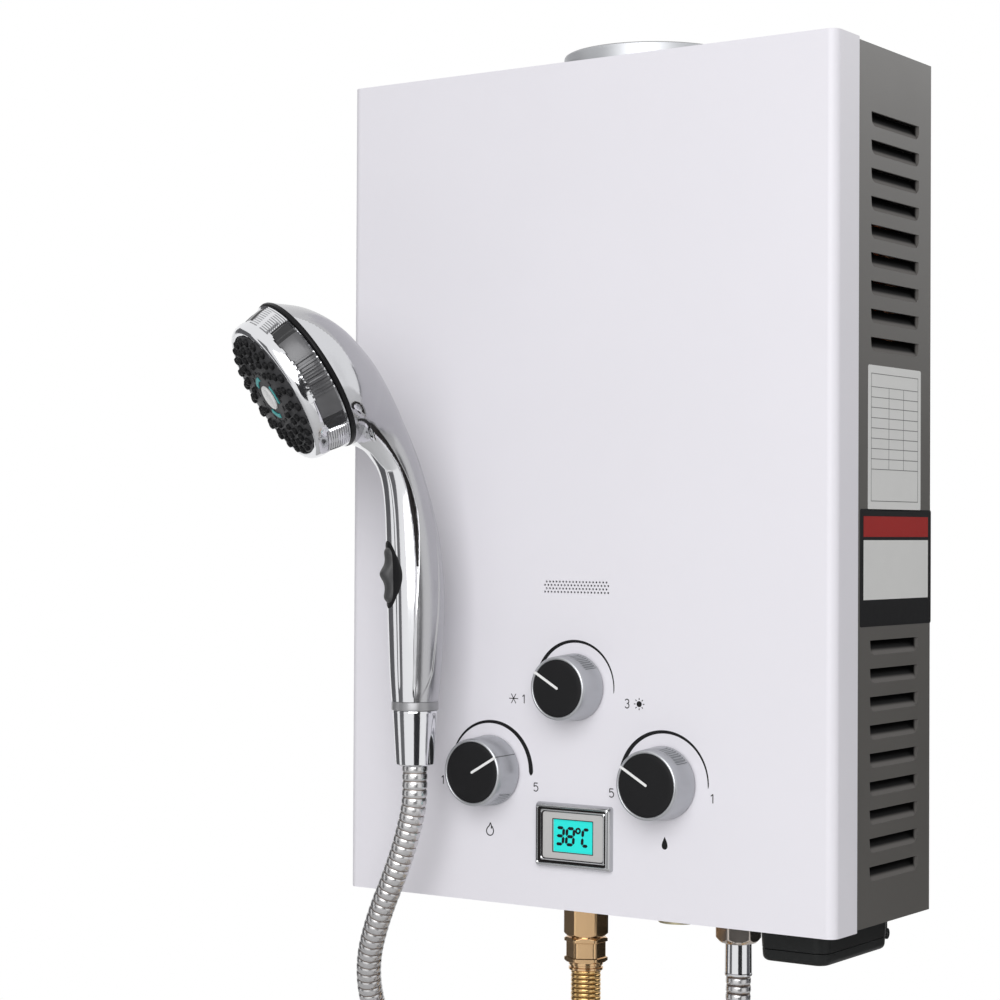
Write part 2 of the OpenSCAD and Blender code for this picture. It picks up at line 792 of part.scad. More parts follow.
module wall_rail() {
  color([0.62, 0.63, 0.64]) difference() {
    along_y(back_y, 0) translate([0, rail_z]) rounded_rect(rail_w, rail_h, 3);
    for (s = [-1, 1]) {
      bar_y(s * wall_screw_pitch / 2, rail_z, wall_screw_d, back_y - 1, 1);
      bar_y(s * rail_rivet_x, rail_z, screw_hole_d, back_y - 1, 1);
    }
  }
}

// Pan-head screw that points along +Z, its head under the origin
module screw(l) {
  cylinder(d = screw_d, h = l);
  translate([0, 0, -screw_head_h]) cylinder(d = screw_head_d, h = screw_head_h);
}

module case_screws() {
  color([0.75, 0.75, 0.76]) {
    for (s = [-1, 1]) {
      translate([s * lap_screw_x, lap_screw_y, top_z]) rotate([180, 0, 0]) screw(screw_l);
      translate([s * lap_screw_x, lap_screw_y, bottom_z]) screw(screw_l);
      for (z = flange_screw_z)
        translate([s * flange_screw_x, back_y, z]) rotate([90, 0, 0]) screw(screw_l);
      translate([s * hanger_rivet_x, inner_back, 0]) rotate([-90, 0, 0]) screw(case_t + bracket_t);
      translate([s * rail_rivet_x, inner_back, rail_z]) rotate([-90, 0, 0])
        screw(case_t + bracket_t);
    }
    holder_screw_places() translate([0, -pad_t, 0]) rotate([-90, 0, 0]) screw(screw_l + 2);
  }
}

// ---------- flue, exchanger and burner ----------

// Tube with a wider rim above the cabinet, for a flue pipe
module flue_collar() {
  r = flue_d / 2;
  neck_r = r - flue_step;
  seat_z = top_z + flue_seat;
  rim_z = top_z + flue_rise;
  color([0.8, 0.81, 0.83]) translate([flue_x, flue_y, 0]) rotate_extrude($fn = fine) polygon([
    [neck_r - flue_t, collar_bottom], [neck_r, collar_bottom], [neck_r, seat_z], [r, seat_z],
    [r, rim_z], [r - flue_t, rim_z], [r - flue_t, seat_z + flue_t], [neck_r - flue_t, seat_z + flue_t]
  ]);
}

// Side view of the draft hood, set in by its sheet
module hood_outline(inset) {
  w = chamber_w / 2 - inset;
  n = flue_d / 2 + 3 - inset;
  polygon([
    [flue_x - w, exchanger_top - (inset > 0 ? 1 : 0)], [flue_x + w, exchanger_top - (inset > 0 ? 1 : 0)],
    [flue_x + w, exchanger_top + 8], [flue_x + n, hood_top - 6], [flue_x + n, hood_top - inset],
    [flue_x - n, hood_top - inset], [flue_x - n, hood_top - 6], [flue_x - w, exchanger_top + 8]
  ]);
}

module draft_hood() {
  color([0.66, 0.67, 0.68]) difference() {
    along_y(chamber_y0, chamber_y1) hood_outline(0);
    along_y(chamber_y0 + copper_t, chamber_y1 - copper_t) hood_outline(copper_t);
    bar_z(flue_x, flue_y, flue_d - 2 * flue_step - 4 * flue_t, hood_top - 5, hood_top + 1);
  }
}

// Rectangular sleeve of sheet around the flue's axis
module sleeve(z0, z1) {
  difference() {
    block([chamber_x0, chamber_y0, z0], [chamber_x1, chamber_y1, z1]);
    block([chamber_x0 + copper_t, chamber_y0 + copper_t, z0 - 1],
          [chamber_x1 - copper_t, chamber_y1 - copper_t, z1 + 1]);
  }
}

// The exchanger's pipe: four straight runs and three bends
module exchanger_run(r, extra) {
  ends = [tube_end + extra, tube_end, tube_end, tube_end + extra];
  for (i = [0:3]) bar_x(tube_y[i], tube_z, 2 * r, chamber_x0 - 1, ends[i]);
  for (i = [0, 2]) translate([chamber_x0 - 1, (tube_y[i] + tube_y[i + 1]) / 2, tube_z])
    rotate([0, 0, 90]) rotate_extrude(angle = 180, $fn = fine) translate([pipe_bend, 0]) circle(r);
  translate([tube_end, flue_y, tube_z])
    rotate([0, 0, -90]) rotate_extrude(angle = 180, $fn = fine) translate([pipe_bend, 0]) circle(r);
}

module heat_exchanger() {
  fin_t = 0.6;
  fin_pitch = (chamber_w - 10) / fin_n;
  color([0.78, 0.45, 0.3]) difference() {
    union() {
      sleeve(chamber_top, exchanger_top);
      for (i = [0:fin_n - 1])
        translate([chamber_x0 + 5 + (i + 0.5) * fin_pitch, chamber_y0 + copper_t / 2, chamber_top + 2])
          cube([fin_t, chamber_d - copper_t, exchanger_h - 4]);
      exchanger_run(pipe_r, 0);
    }
    exchanger_run(pipe_r - pipe_t, 1);
  }
}

module combustion_chamber() {
  color([0.78, 0.45, 0.3]) {
    sleeve(chamber_bottom, chamber_top);
    for (s = [-1, 1]) translate([flue_x + s * chamber_w / 4, 0, chamber_bottom + chamber_h / 2])
      block([-20, chamber_y1 - copper_t / 2, -8], [20, inner_back, 8]);
  }
}

module burner() {
  color([0.6, 0.61, 0.62]) {
    for (x = blade_x)
      along_y(rail_y[0], rail_y[1]) translate([x, 0]) polygon([
        [-blade_w / 2, burner_bottom], [blade_w / 2, burner_bottom],
        [blade_w / 2, blade_top - 8], [blade_w / 4, blade_top],
        [-blade_w / 4, blade_top], [-blade_w / 2, blade_top - 8]
      ]);
    for (y = [rail_y[0] - 2, rail_y[1] - 2])
      block([chamber_x0 + 1, y, burner_bottom + 4], [chamber_x1 - 1, y + 4, burner_bottom + 14]);
    for (x = [chamber_x0, chamber_x1 - 2])
      block([x, chamber_y0 + 2, burner_bottom], [x + 2, chamber_y1 - 2, chamber_bottom]);
  }
}

module gas_manifold() {
  color([0.78, 0.63, 0.3]) {
    bar_x(manifold_y, manifold_z, 2 * manifold_r, blade_x[0] - 12, blade_x[blade_n - 1] + 12);
    for (x = blade_x) bar_z(x, manifold_y, 5, manifold_z, burner_bottom - 3);
    bar_z(-valve_x, manifold_y, riser_d, valve_top, manifold_z);
  }
}

module ignition_electrodes() {
  for (x = [blade_x[0] + blade_pitch / 2, blade_x[blade_n - 1] - blade_pitch / 2]) {
    color([0.93, 0.92, 0.88]) bar_z(x, rail_y[0], 4, burner_bottom + 14, blade_top - 3);
    color([0.7, 0.7, 0.7]) bar_z(x, rail_y[0], 1.6, blade_top - 3, blade_top + 4);
  }
}

// ---------- valves ----------

// Blind hole for a spindle, from a valve's front
module spindle_bore(x, z) {
  bar_y(x, z, spindle_d + 2 * spindle_play, valve_front - 1, spindle_y);
}

module gas_valve() {
  color([0.7, 0.71, 0.72]) difference() {
    union() {
      block([gas_valve_x0, valve_front + 4, valve_bottom], [gas_valve_x1, valve_back, valve_top]);
      bar_y(-valve_x, valve_z, nose_d, valve_front, valve_front + 5);
      block([gas_x - 12, valve_front + 20, valve_bottom - arm_h],
            [gas_x + 12, fitting_y + 12, valve_bottom + eps]);
    }
    spindle_bore(-valve_x, valve_z);
    bar_x(rod_y, valve_z, 2 * (rod_r + spindle_play), gas_valve_x1 - 14, gas_valve_x1 + 1);
  }
}

module water_valve() {
  color([0.78, 0.63, 0.3]) difference() {
    union() {
      block([water_valve_x0, valve_front + 4, valve_bottom - 2],
            [water_valve_x1, valve_back, valve_top]);
      bar_y(valve_x, valve_z, nose_d, valve_front, valve_front + 5);
      bar_x(rod_y, valve_z, diaphragm_d, diaphragm_x0, water_valve_x0 + eps);
      block([cold_x - 10, valve_back - 10, valve_bottom - 2 - arm_h],
            [water_valve_x0 + 9, fitting_y + 11, valve_bottom - 2 + eps]);
    }
    spindle_bore(valve_x, valve_z);
    bar_x(rod_y, valve_z, 2 * (rod_r + spindle_play), diaphragm_x0 - 1, diaphragm_x0 + 10);
  }
}

module season_valve() {
  color([0.78, 0.63, 0.3]) difference() {
    union() {
      bar_y(0, season_z, season_body_d, valve_front, valve_back - 6);
      bar_x(manifold_y, season_z, gas_way_d, riser_d / 2 - valve_x, 1 - season_body_d / 2);
      bar_z(0, manifold_y, gas_way_d, season_z + season_body_d / 2 - 1,
            manifold_z - manifold_r + 0.4);
    }
    spindle_bore(0, season_z);
  }
}

// Cold pipe from the water valve to the exchanger, hot pipe back to the outlet
module water_pipe_runs(r, extra) {
  side_x = pipe_side - pipe_bend;
  cold_y = tube_y[0];
  hot_y = tube_y[3];
  cold_z = valve_top + 24;
  hot_z = battery_roof + 24;
  for (y = [cold_y, hot_y]) {
    bar_x(y, tube_z, 2 * r, tube_end - extra, side_x);
    bend_xz(side_x, y, tube_z - pipe_bend, r, 0);
  }
  bar_z(pipe_side, cold_y, 2 * r, cold_z + pipe_bend, tube_z - pipe_bend);
  bend_xz(side_x, cold_y, cold_z + pipe_bend, r, -90);
  bar_x(cold_y, cold_z, 2 * r, valve_x + pipe_bend, side_x);
  bend_xz(valve_x + pipe_bend, cold_y, cold_z - pipe_bend, r, 90);
  bar_z(valve_x, cold_y, 2 * r, valve_top - extra, cold_z - pipe_bend);
  bar_z(pipe_side, hot_y, 2 * r, hot_z + pipe_bend, tube_z - pipe_bend);
  bend_xz(side_x, hot_y, hot_z + pipe_bend, r, -90);
  bar_x(hot_y, hot_z, 2 * r, hot_x + pipe_bend, side_x);
  bend_xz(hot_x + pipe_bend, hot_y, hot_z - pipe_bend, r, 90);
  bar_z(hot_x, hot_y, 2 * r, outlet_block_z + arm_h - extra, hot_z - pipe_bend);
}

module water_pipes() {
  color([0.8, 0.48, 0.32]) difference() {
    water_pipe_runs(pipe_r, 0);
    water_pipe_runs(pipe_r - pipe_t, 1);
  }
}

module valve_push_rod() {
  color([0.8, 0.66, 0.32]) {
    bar_x(rod_y, valve_z, 2 * rod_r, gas_valve_x1 - 8, diaphragm_x0 + 6);
    bar_x(rod_y, valve_z, 10, 4, 8);
  }
}

module microswitch() {
  color([0.12, 0.12, 0.13]) {
    z = valve_z + 6;
    block([-8, rod_y - 5, z], [12, rod_y + 5, z + 14]);
    block([gas_valve_x1, rod_y - 3, z + 6], [-8 + eps, rod_y + 3, z + 8]);
  }
}

module ignition_controller() {
  color([0.15, 0.15, 0.16]) difference() {
    block([controller_in - inner_x, inner_back - controller_d, panel_floor + controller_in],
          [controller_in + controller_w - inner_x, inner_back, controller_top]);
    block([controller_in + 8 - inner_x, inner_back - controller_d - 1, panel_floor + 20],
          [controller_in + controller_w - 8 - inner_x, inner_back - controller_d + 2, panel_floor + 30]);
  }
}

// A wire through a list of points: straight runs with round corners
module wire(points) {
  wire_d = 2.4;
  for (i = [0:len(points) - 2]) {
    v = points[i + 1] - points[i];
    translate(points[i]) rotate([0, acos(v[2] / norm(v)), atan2(v[1], v[0])])
      cylinder(d = wire_d, h = norm(v), $fn = 24);
    if (i > 0) translate(points[i]) sphere(d = 1.3 * wire_d, $fn = 24);
  }
}

module wiring_harness() {
  top = controller_top;
  y = inner_back - controller_d + 6;
  x = controller_in + 18 - inner_x;
  color([0.2, 0.2, 0.22]) {
    wire([[battery_x - 10, fitting_y, battery_roof], [battery_x - 10, fitting_y, top + 6],
          [x, fitting_y, top + 6], [x, y, top + 6], [x, y, top]]);
    wire([[x + 16, y, top], [x + 16, y, burner_bottom - 8],
          [x + 16, rail_y[0] - 9, burner_bottom - 8],
          [blade_x[0] + blade_pitch / 2, rail_y[0] - 9, burner_bottom - 8],
          [blade_x[0] + blade_pitch / 2, rail_y[0] - 9, burner_bottom + 20],
          [blade_x[0] + blade_pitch / 2, rail_y[0] - 2, burner_bottom + 20]]);
    wire([[x - 10, inner_back - controller_d, panel_floor + 25], [x - 10, module_y, panel_floor + 25],
          [x - 10, module_y, panel_floor + 8], [0, module_y - 1.9, panel_floor + 8],
          [0, module_y - 1.9, display_z - window_h / 2 + 1]]);
  }
}

// ---------- battery box ----------

module battery_plan(inset) {
  translate([battery_x, battery_y])
    rounded_rect(battery_w - 2 * inset, battery_l - 2 * inset, battery_r - inset);
}

// Hinge knuckle between two places along X, with the web that joins it to a face
module knuckle(x0, x1, z0, z1) {
  difference() {
    union() {
      bar_x(hinge_y, hinge_z, 2 * knuckle_r, battery_x + x0, battery_x + x1);
      block([battery_x + x0, battery_y + battery_l / 2 - battery_t, z0],
            [battery_x + x1, hinge_y, z1]);
    }
    bar_x(hinge_y, hinge_z, hinge_pin_d + 2 * spindle_play, battery_x + x0 - 1, battery_x + x1 + 1);
  }
}

module battery_box() {
  color([0.1, 0.1, 0.11]) {
    difference() {
      union() {
        translate([0, 0, battery_bottom])
          linear_extrude(battery_roof - battery_bottom) battery_plan(0);
        translate([0, 0, panel_floor]) linear_extrude(1.5) battery_plan(-3);
      }
      translate([0, 0, battery_bottom - 1])
        linear_extrude(battery_roof - battery_bottom + 1 - battery_t) battery_plan(battery_t);
    }
    for (s = [-1, 1])
      knuckle(min(s * hinge_mid / 2, s * hinge_w / 2), max(s * hinge_mid / 2, s * hinge_w / 2),
              battery_bottom, battery_bottom + 8);
  }
}

module batteries() {
  for (y = cell_y) {
    color([0.16, 0.2, 0.3]) bar_z(battery_x, y, cell_d, cell_z, cell_z + cell_l - 1.5);
    color([0.75, 0.75, 0.74]) bar_z(battery_x, y, 9, cell_z + cell_l - 1.5, cell_z + cell_l);
  }
}

module battery_contacts() {
  color([0.75, 0.7, 0.5]) for (y = cell_y) {
    bar_z(battery_x, y, 16, battery_roof - battery_t - 0.6, battery_roof - battery_t);
    bar_z(battery_x, y, 7, cell_z + cell_l, battery_roof - battery_t - 0.6);
  }
}

module battery_door() {
  color([0.1, 0.1, 0.11]) {
    difference() {
      translate([0, 0, door_top - door_t]) linear_extrude(door_t) battery_plan(0);
      translate([0, 0, door_top - door_t + 2]) linear_extrude(door_t) battery_plan(2);
    }
    for (y = cell_y) bar_z(battery_x, y, 12, door_top - door_t + 1, cell_z - slip);
    for (s = [-1, 1]) translate([battery_x + s * (battery_w / 2 - battery_r - 1), battery_y - battery_l / 2, 0])
      block([-2, 1, door_top - door_t + 1], [2, 3.6, door_top - slip]);
    for (s = [-1, 1]) translate([battery_x + s * (battery_w / 2 - battery_r - 1), battery_y - battery_l / 2, 0])
      block([-2, battery_t + 0.6, door_top - slip - eps], [2, battery_t + 2, battery_bottom + 4]);
    knuckle(slip - hinge_mid / 2, hinge_mid / 2 - slip, hinge_z - knuckle_r, hinge_z - slip / 2);
  }
}

module battery_door_pin() {
  color([0.75, 0.75, 0.76])
    bar_x(hinge_y, hinge_z, hinge_pin_d, battery_x - hinge_w / 2, battery_x + hinge_w / 2);
}

// ---------- knobs ----------

// Puts a knob's own frame (Z towards the viewer) at its place on the cover
module at_knob(x, z) {
  translate([x, knob_y, z]) rotate([90, 0, 0]) children();
}

// Shaft outline with a flat, enlarged by `play`
module d_shaft(play) {
  intersection() {
    circle(d = spindle_d + 2 * play);
    translate([-spindle_d, -spindle_d]) square([2 * spindle_d, spindle_d + spindle_flat + play]);
  }
}

module knob_body(d) {
  rb = d / 2;
  rf = (d - knob_taper) / 2;
  rc = rf - knob_rim;
  floor_z = knob_l - knob_cap_t;
  difference() {
    rotate_extrude($fn = fine) polygon([
      [0, 0], [rb - 0.4, 0], [rb, 0.4], [rf, knob_l - 0.6], [rf - 0.6, knob_l],
      [rc, knob_l], [rc, floor_z], [0, floor_z]
    ]);
    difference() {
      translate([0, 0, -1]) cylinder(r = rf - 2.4, h = floor_z - 1, $fn = fine);
      translate([0, 0, -2]) cylinder(d = hub_d, h = floor_z + 2);
    }
    translate([0, 0, -1]) linear_extrude(floor_z - 1) d_shaft(touch);
  }
}

module knob_cap(d) {
  translate([0, 0, knob_l - knob_cap_t])
    cylinder(r = (d - knob_taper) / 2 - knob_rim - touch, h = knob_cap_t - 0.3, $fn = fine);
}

module spindle(x, z) {
  color([0.8, 0.66, 0.32]) {
    at_knob(x, z) linear_extrude(knob_l - knob_cap_t - 2.4) d_shaft(0);
    bar_y(x, z, spindle_d, knob_y, spindle_y - 1);
  }
}

knob_grey = [0.72, 0.74, 0.76];
knob_black = [0.1, 0.1, 0.11];
module season_knob() { color(knob_grey) at_knob(0, season_z) knob_body(season_d); }
module season_knob_cap() { color(knob_black) at_knob(0, season_z) knob_cap(season_d); }
module season_spindle() { spindle(0, season_z); }
module gas_knob() { color(knob_grey) at_knob(-valve_x, valve_z) knob_body(valve_knob_d); }
module gas_knob_cap() { color(knob_black) at_knob(-valve_x, valve_z) knob_cap(valve_knob_d); }
module gas_spindle() { spindle(-valve_x, valve_z); }
module water_knob() { color(knob_grey) at_knob(valve_x, valve_z) knob_body(valve_knob_d); }
module water_knob_cap() { color(knob_black) at_knob(valve_x, valve_z) knob_cap(valve_knob_d); }
module water_spindle() { spindle(valve_x, valve_z); }

// ---------- display ----------

module display_bezel() {
  color([0.8, 0.81, 0.83]) difference() {
    union() {
      along_y(face_y - bezel_rise, face_y) translate([0, display_z])
        rounded_rect(bezel_w, bezel_h, 2);
      along_y(face_y - eps, face_y + 3) translate([0, display_z])
        square([window_w + 3, window_h + 3], center = true);
    }
    along_y(face_y - bezel_rise - 1, face_y + 4) translate([0, display_z])
      rounded_rect(window_w, window_h, 1.5);
  }
}

module display_window() {
  color([0.6, 0.61, 0.62]) difference() {
    along_y(window_y, screen_y) translate([0, display_z])
      rounded_rect(window_w - 2 * touch, window_h - 2 * touch, 1.5);
    along_y(window_y - 1, screen_y + 1) translate([0, display_z])
      square([screen_w, screen_h], center = true);
  }
}

module display_screen() {
  color([0.15, 0.85, 0.85]) {
    along_y(screen_y, module_y) translate([0, display_z])
      square([window_w - 2, window_h - 2], center = true);
    along_y(face_y + 3, face_y + 4.5) translate([0, display_z])
      square([window_w + 3, window_h + 3], center = true);
  }
}

// ---------- fittings ----------

module gas_inlet_fitting() {
  z_top = valve_bottom - arm_h;
  color([0.8, 0.6, 0.25]) difference() {
    union() {
      bar_z(gas_x, fitting_y, thread_d, case_bottom - 1, z_top);
      hex_z(gas_x, fitting_y, gas_hex, gas_hex_z, case_bottom);
      bar_z(gas_x, fitting_y, gas_d, gas_nut_z + 4, gas_hex_z + 1);
    }
    bar_z(gas_x, fitting_y, gas_bore, gas_nut_z, z_top + 1);
  }
}

module gas_hose_nut() {
  color([0.8, 0.6, 0.25]) difference() {
    hex_z(gas_x, fitting_y, gas_hex, gas_nut_z, gas_nut_z + gas_nut_l);
    bar_z(gas_x, fitting_y, gas_d + 2 * touch, gas_nut_z + 4, gas_nut_z + gas_nut_l + 1);
    bar_z(gas_x, fitting_y, gas_bore, gas_nut_z - 1, gas_nut_z + 5);
    translate([gas_x, fitting_y, gas_nut_z + gas_nut_l / 2]) rotate_extrude($fn = fine)
      translate([gas_hex / 2 + 0.6, 0]) circle(r = 1.2, $fn = 24);
  }
}

module water_inlet_fitting() {
  color([0.35, 0.35, 0.36]) difference() {
    union() {
      bar_z(cold_x, fitting_y, thread_d, case_bottom - inlet_l, thread_top);
      bar_z(cold_x, fitting_y, thread_d - 2 * thread_relief, thread_top - eps,
            valve_bottom - 2 - arm_h);
      hex_z(cold_x, fitting_y, thread_d + 3, panel_floor, panel_floor + 5);
    }
    bar_z(cold_x, fitting_y, thread_bore, case_bottom - inlet_l - 1, valve_bottom - 1 - arm_h);
  }
}

module water_outlet_fitting() {
  z1 = outlet_block_z + arm_h;
  color([0.78, 0.63, 0.3]) difference() {
    union() {
      block([hot_x - 11, fitting_y - 11, outlet_block_z], [hot_x + 11, outlet_block_y1, z1]);
      bar_z(hot_x, fitting_y, thread_d, case_bottom, outlet_block_z + eps);
      bar_z(hot_x, fitting_y, outlet_hex - 3, outlet_nut_z + 5, case_bottom + 1);
    }
    bar_z(hot_x, fitting_y, shower_bore, outlet_nut_z, outlet_block_z + arm_h / 2);
    bar_z(hot_x, tube_y[3], shower_bore, outlet_block_z + arm_h / 2, z1 + 1);
    bar_y(hot_x, outlet_block_z + arm_h / 2, shower_bore, fitting_y, tube_y[3]);
  }
}

module outlet_hose_nut() {
  color([0.8, 0.81, 0.83]) difference() {
    hex_z(hot_x, fitting_y, outlet_hex, outlet_nut_z, case_bottom - 1);
    bar_z(hot_x, fitting_y, outlet_hex - 3 + 2 * touch, outlet_nut_z + 5, case_bottom);
    bar_z(hot_x, fitting_y, shower_bore, outlet_nut_z - 1, outlet_nut_z + 6);
  }
}

// A crimp ferrule with a groove
module ferrule(x, y, d, bore, z0, z1) {
  translate([x, y, 0]) rotate_extrude($fn = fine) polygon([
    [bore / 2, z0], [d / 2, z0], [d / 2, z0 + (z1 - z0) * 0.4], [d / 2 - 0.8, (z0 + z1) / 2],
    [d / 2, z0 + (z1 - z0) * 0.6], [d / 2, z1], [bore / 2, z1]
  ]);
}

module hose_ferrules() {
  color([0.8, 0.6, 0.25]) {
    ferrule(gas_x, fitting_y, gas_d + 2, gas_bore, gas_hose_top, gas_nut_z);
    ferrule(gas_x, fitting_y + gas_coil_step, gas_d + 2, gas_bore, gas_tail - ferrule_l, gas_tail);
  }
  color([0.8, 0.81, 0.83])
    ferrule(hot_x, fitting_y, shower_d + 0.8, shower_bore, shower_hose_top, outlet_nut_z);
}

module gas_supply_nut() {
  x = gas_x;
  y = fitting_y + gas_coil_step;
  z1 = gas_tail - ferrule_l;
  color([0.8, 0.6, 0.25]) difference() {
    hex_z(x, y, gas_hex, gas_nut_bottom, z1);
    bar_z(x, y, gas_d + 1, gas_nut_bottom - 1, z1 - 8);
    bar_z(x, y, gas_bore, z1 - 9, z1 + 1);
  }
}

// ---------- hoses ----------

module gas_hose() {
  color([0.8, 0.62, 0.3]) ribbed_hose(
    [[gas_x, fitting_y, gas_hose_top], [gas_x, fitting_y, (gas_hose_top + gas_run_end) / 2],
     [gas_x, fitting_y, gas_run_end]], gas_d, 1, gas_bore, gas_ribs);
}

module gas_hose_coil() {
  color([0.8, 0.62, 0.3]) cord_tube(gas_coil_centres, gas_d / 2, 6);
}

module shower_hose_lower() {
  color([0.75, 0.75, 0.76]) ribbed_hose(lower_route, shower_d, 0.7, shower_bore, lower_ribs);
}

module shower_hose_coil() {
  color([0.75, 0.75, 0.76]) cord_tube(shower_coil_centres, shower_d / 2, 6);
}

module shower_hose_upper() {
  color([0.75, 0.75, 0.76]) ribbed_hose(upper_route, shower_d, 0.7, shower_bore, upper_ribs);
}

// Flat strap around hoses that pass side by side in Y
module tie(x, y0, y1, d, z, h) {
  gap = 0.8;
  t = 1.6;
  w = d + 2 * gap;
  l = y1 - y0 + d + 2 * gap;
  translate([x, (y0 + y1) / 2, z]) linear_extrude(h) difference() {
    rounded_rect(w + 2 * t, l + 2 * t, 4);
    rounded_rect(w, l, 3);
  }
}

module hose_ties() {
  color([0.1, 0.1, 0.11]) {
    tie(40, shower_coil_y - 2 * shower_coil_step, shower_coil_y, shower_d, shower_coil_z - 5, 10);
    tie(gas_x, fitting_y, fitting_y + gas_coil_step, gas_d, gas_coil_z, 10);
  }
}

// ---------- hand shower ----------

// Puts the hand shower's own frame (X forwards, Z up) at its place
module at_hand() {
  translate([hand_x, hand_y, hand_z]) rotate([0, 0, hand_turn]) children();
}

// Puts the head's own frame (Z out of the spray face) at its place
module at_head() {
  at_hand() translate([head_u, 0, head_z]) rotate([0, 90 + head_tilt, 0]) children();
}

// Points of one section of the shell, set in by its wall
function shell_ring(s, inset) =
  let (b = s[0], f = s[1], c = (b + f) / 2, half = norm(f - b) / 2,
       e = (f - b) / (2 * half), r = half - inset, w = s[2] - inset)
  [for (k = [0:shell_sides - 1])
    let (a = 360 * k / shell_sides, u = c + r * cos(a) * e)
    [u[0], w * sin(a), u[1]]];

module shell_skin() {
  n = len(shell_sections);
  sides = shell_sides;
  outer_points = [for (s = shell_sections) each shell_ring(s, 0)];
  inner_points = [for (s = shell_sections) each shell_ring(s, shell_t)];
  first = n * sides;
  polyhedron(
    points = concat(outer_points, inner_points),
    faces = concat(
      [for (i = [0:n - 2]) each band(0, i, sides, false)],
      [for (i = [0:n - 2]) each band(first, i, sides, true)],
      washer(0, first, sides, true),
      washer(first - sides, 2 * first - sides, sides, false)
    )
  );
}

module handset_shell() {
  color([0.8, 0.81, 0.83]) at_hand() difference() {
    shell_skin();
    block([switch_floor, -switch_w / 2 - slip, switch_z - switch_l / 2 - switch_travel - slip],
          [30, switch_w / 2 + slip, switch_z + switch_l / 2 + switch_travel + slip]);
    rotate([0, 0, saddle_turn - hand_turn]) bar_x(0, saddle_z, peg_d + 1, 5, 30);
  }
}

module handset_collar() {
  color([0.55, 0.56, 0.57]) at_hand() difference() {
    cylinder(d = hose_nut_d + 1, h = collar_l);
    translate([0, 0, -1]) cylinder(d = shower_bore, h = collar_l + 2);
  }
}

module handset_seal() {
  color([0.06, 0.06, 0.06]) at_head() difference() {
    cylinder(d = head_d, h = seal_t, $fn = fine);
    translate([0, 0, -1]) cylinder(d = head_d - 12, h = seal_t + 2, $fn = fine);
  }
}

module spray_selector() {
  r0 = head_d / 2 - 0.7;
  r1 = selector_d / 2;
  z0 = seal_t + slip;
  z1 = seal_t + selector_h;
  color([0.75, 0.76, 0.78]) at_head() difference() {
    rotate_extrude($fn = fine) polygon([
      [r1 - 5, z0], [r0, z0], [r0, z0 + 4], [r0 - 1, z0 + 9], [r1 + 1.2, z1 - 3],
      [r1, z1 - 0.8], [r1 - 1.4, z1], [r1 - 3, z1 - 0.4], [r1 - 3, z1 - 3], [r1 - 5, z1 - 3]
    ]);
    for (k = [0:5], j = [-2:2]) rotate([0, 0, 60 * k + 4 * j])
      translate([r0 + 0.4, -0.6, z0 + 3]) cube([2, 1.2, 9]);
  }
}

module spray_face() {
  r = selector_d / 2 - 3 - touch;
  z1 = seal_t + selector_h;
  dome = 1.6;
  color([0.17, 0.17, 0.18]) at_head() {
    rotate_extrude($fn = fine) polygon([
      [0, z1 - 3], [r, z1 - 3], [r, z1 - 0.6],
      [r * 0.8, z1 + dome * 0.5], [r * 0.45, z1 + dome], [0, z1 + dome]
    ]);
    for (k = [0:nozzle_n - 1]) rotate([0, 0, 360 * k / nozzle_n])
      translate([r * 0.84, 0, z1 - 1]) cylinder(d = 3.6, h = 2.6, $fn = 16);
    for (k = [0:7]) rotate([0, 0, 45 * k])
      translate([r * 0.55, 0, z1]) cylinder(d = 3.6, h = 2.8, $fn = 16);
  }
  color([0.85, 0.86, 0.87]) at_head() translate([0, 0, z1 + dome - 0.5]) cylinder(d = 12.5, h = 1.5);
}

module thumb_switch() {
  x0 = switch_floor + slip;
  l = switch_l;
  color([0.08, 0.08, 0.08]) at_hand() translate([0, 0, switch_z])
    along_y(-switch_w / 2, switch_w / 2) polygon([
      [x0, -l / 2], [x0 + 2.4, -l / 2], [x0 + 3.6, -l * 0.36], [x0 + 3.2, -l * 0.2],
      [x0 + 5.2, -l * 0.06], [x0 + 5.2, l * 0.1], [x0 + 3.2, l * 0.24],
      [x0 + 3.6, l * 0.4], [x0 + 2.4, l / 2], [x0, l / 2]
    ]);
}

module shower_hose_nut() {
  color([0.8, 0.81, 0.83]) translate([hand_x, hand_y, hose_end_z]) difference() {
    cylinder(d1 = hose_nut_d - 3.5, d2 = hose_nut_d, h = hose_nut_l);
    translate([0, 0, -1]) cylinder(d = shower_bore, h = hose_nut_l + 2);
  }
}

// Holder behind the grip: pad on the cover, arm, saddle and a peg
pad_t = 3;
pad_w = 22;
pad_h = 42;
arm_l = (hand_y - face_y) / -sin(saddle_turn);
pad_x = hand_x + arm_l * cos(saddle_turn);

module shower_holder() {
  color([0.75, 0.76, 0.78]) difference() {
    union() {
      translate([hand_x, hand_y, hand_z + saddle_z]) rotate([0, 0, saddle_turn]) {
        translate([0, 0, -saddle_h / 2]) rotate([0, 0, -45])
          rotate_extrude(angle = 90, $fn = fine) translate([saddle_r, 0]) square([saddle_t, saddle_h]);
        block([saddle_r + 1, -4, -7], [arm_l + 8, 4, 7]);
        bar_x(0, 0, peg_d, 10, saddle_r + 1 + eps);
      }
      along_y(face_y - pad_t, face_y) translate([pad_x, hand_z + saddle_z])
        rounded_rect(pad_w, pad_h, 4);
    }
    translate([pad_x, face_y, hand_z + saddle_z]) block([-pad_w, 0, -pad_h], [pad_w, pad_h, pad_h]);
    holder_screw_places() bar_y(0, 0, screw_hole_d, -pad_t - 1, 1);
  }
}

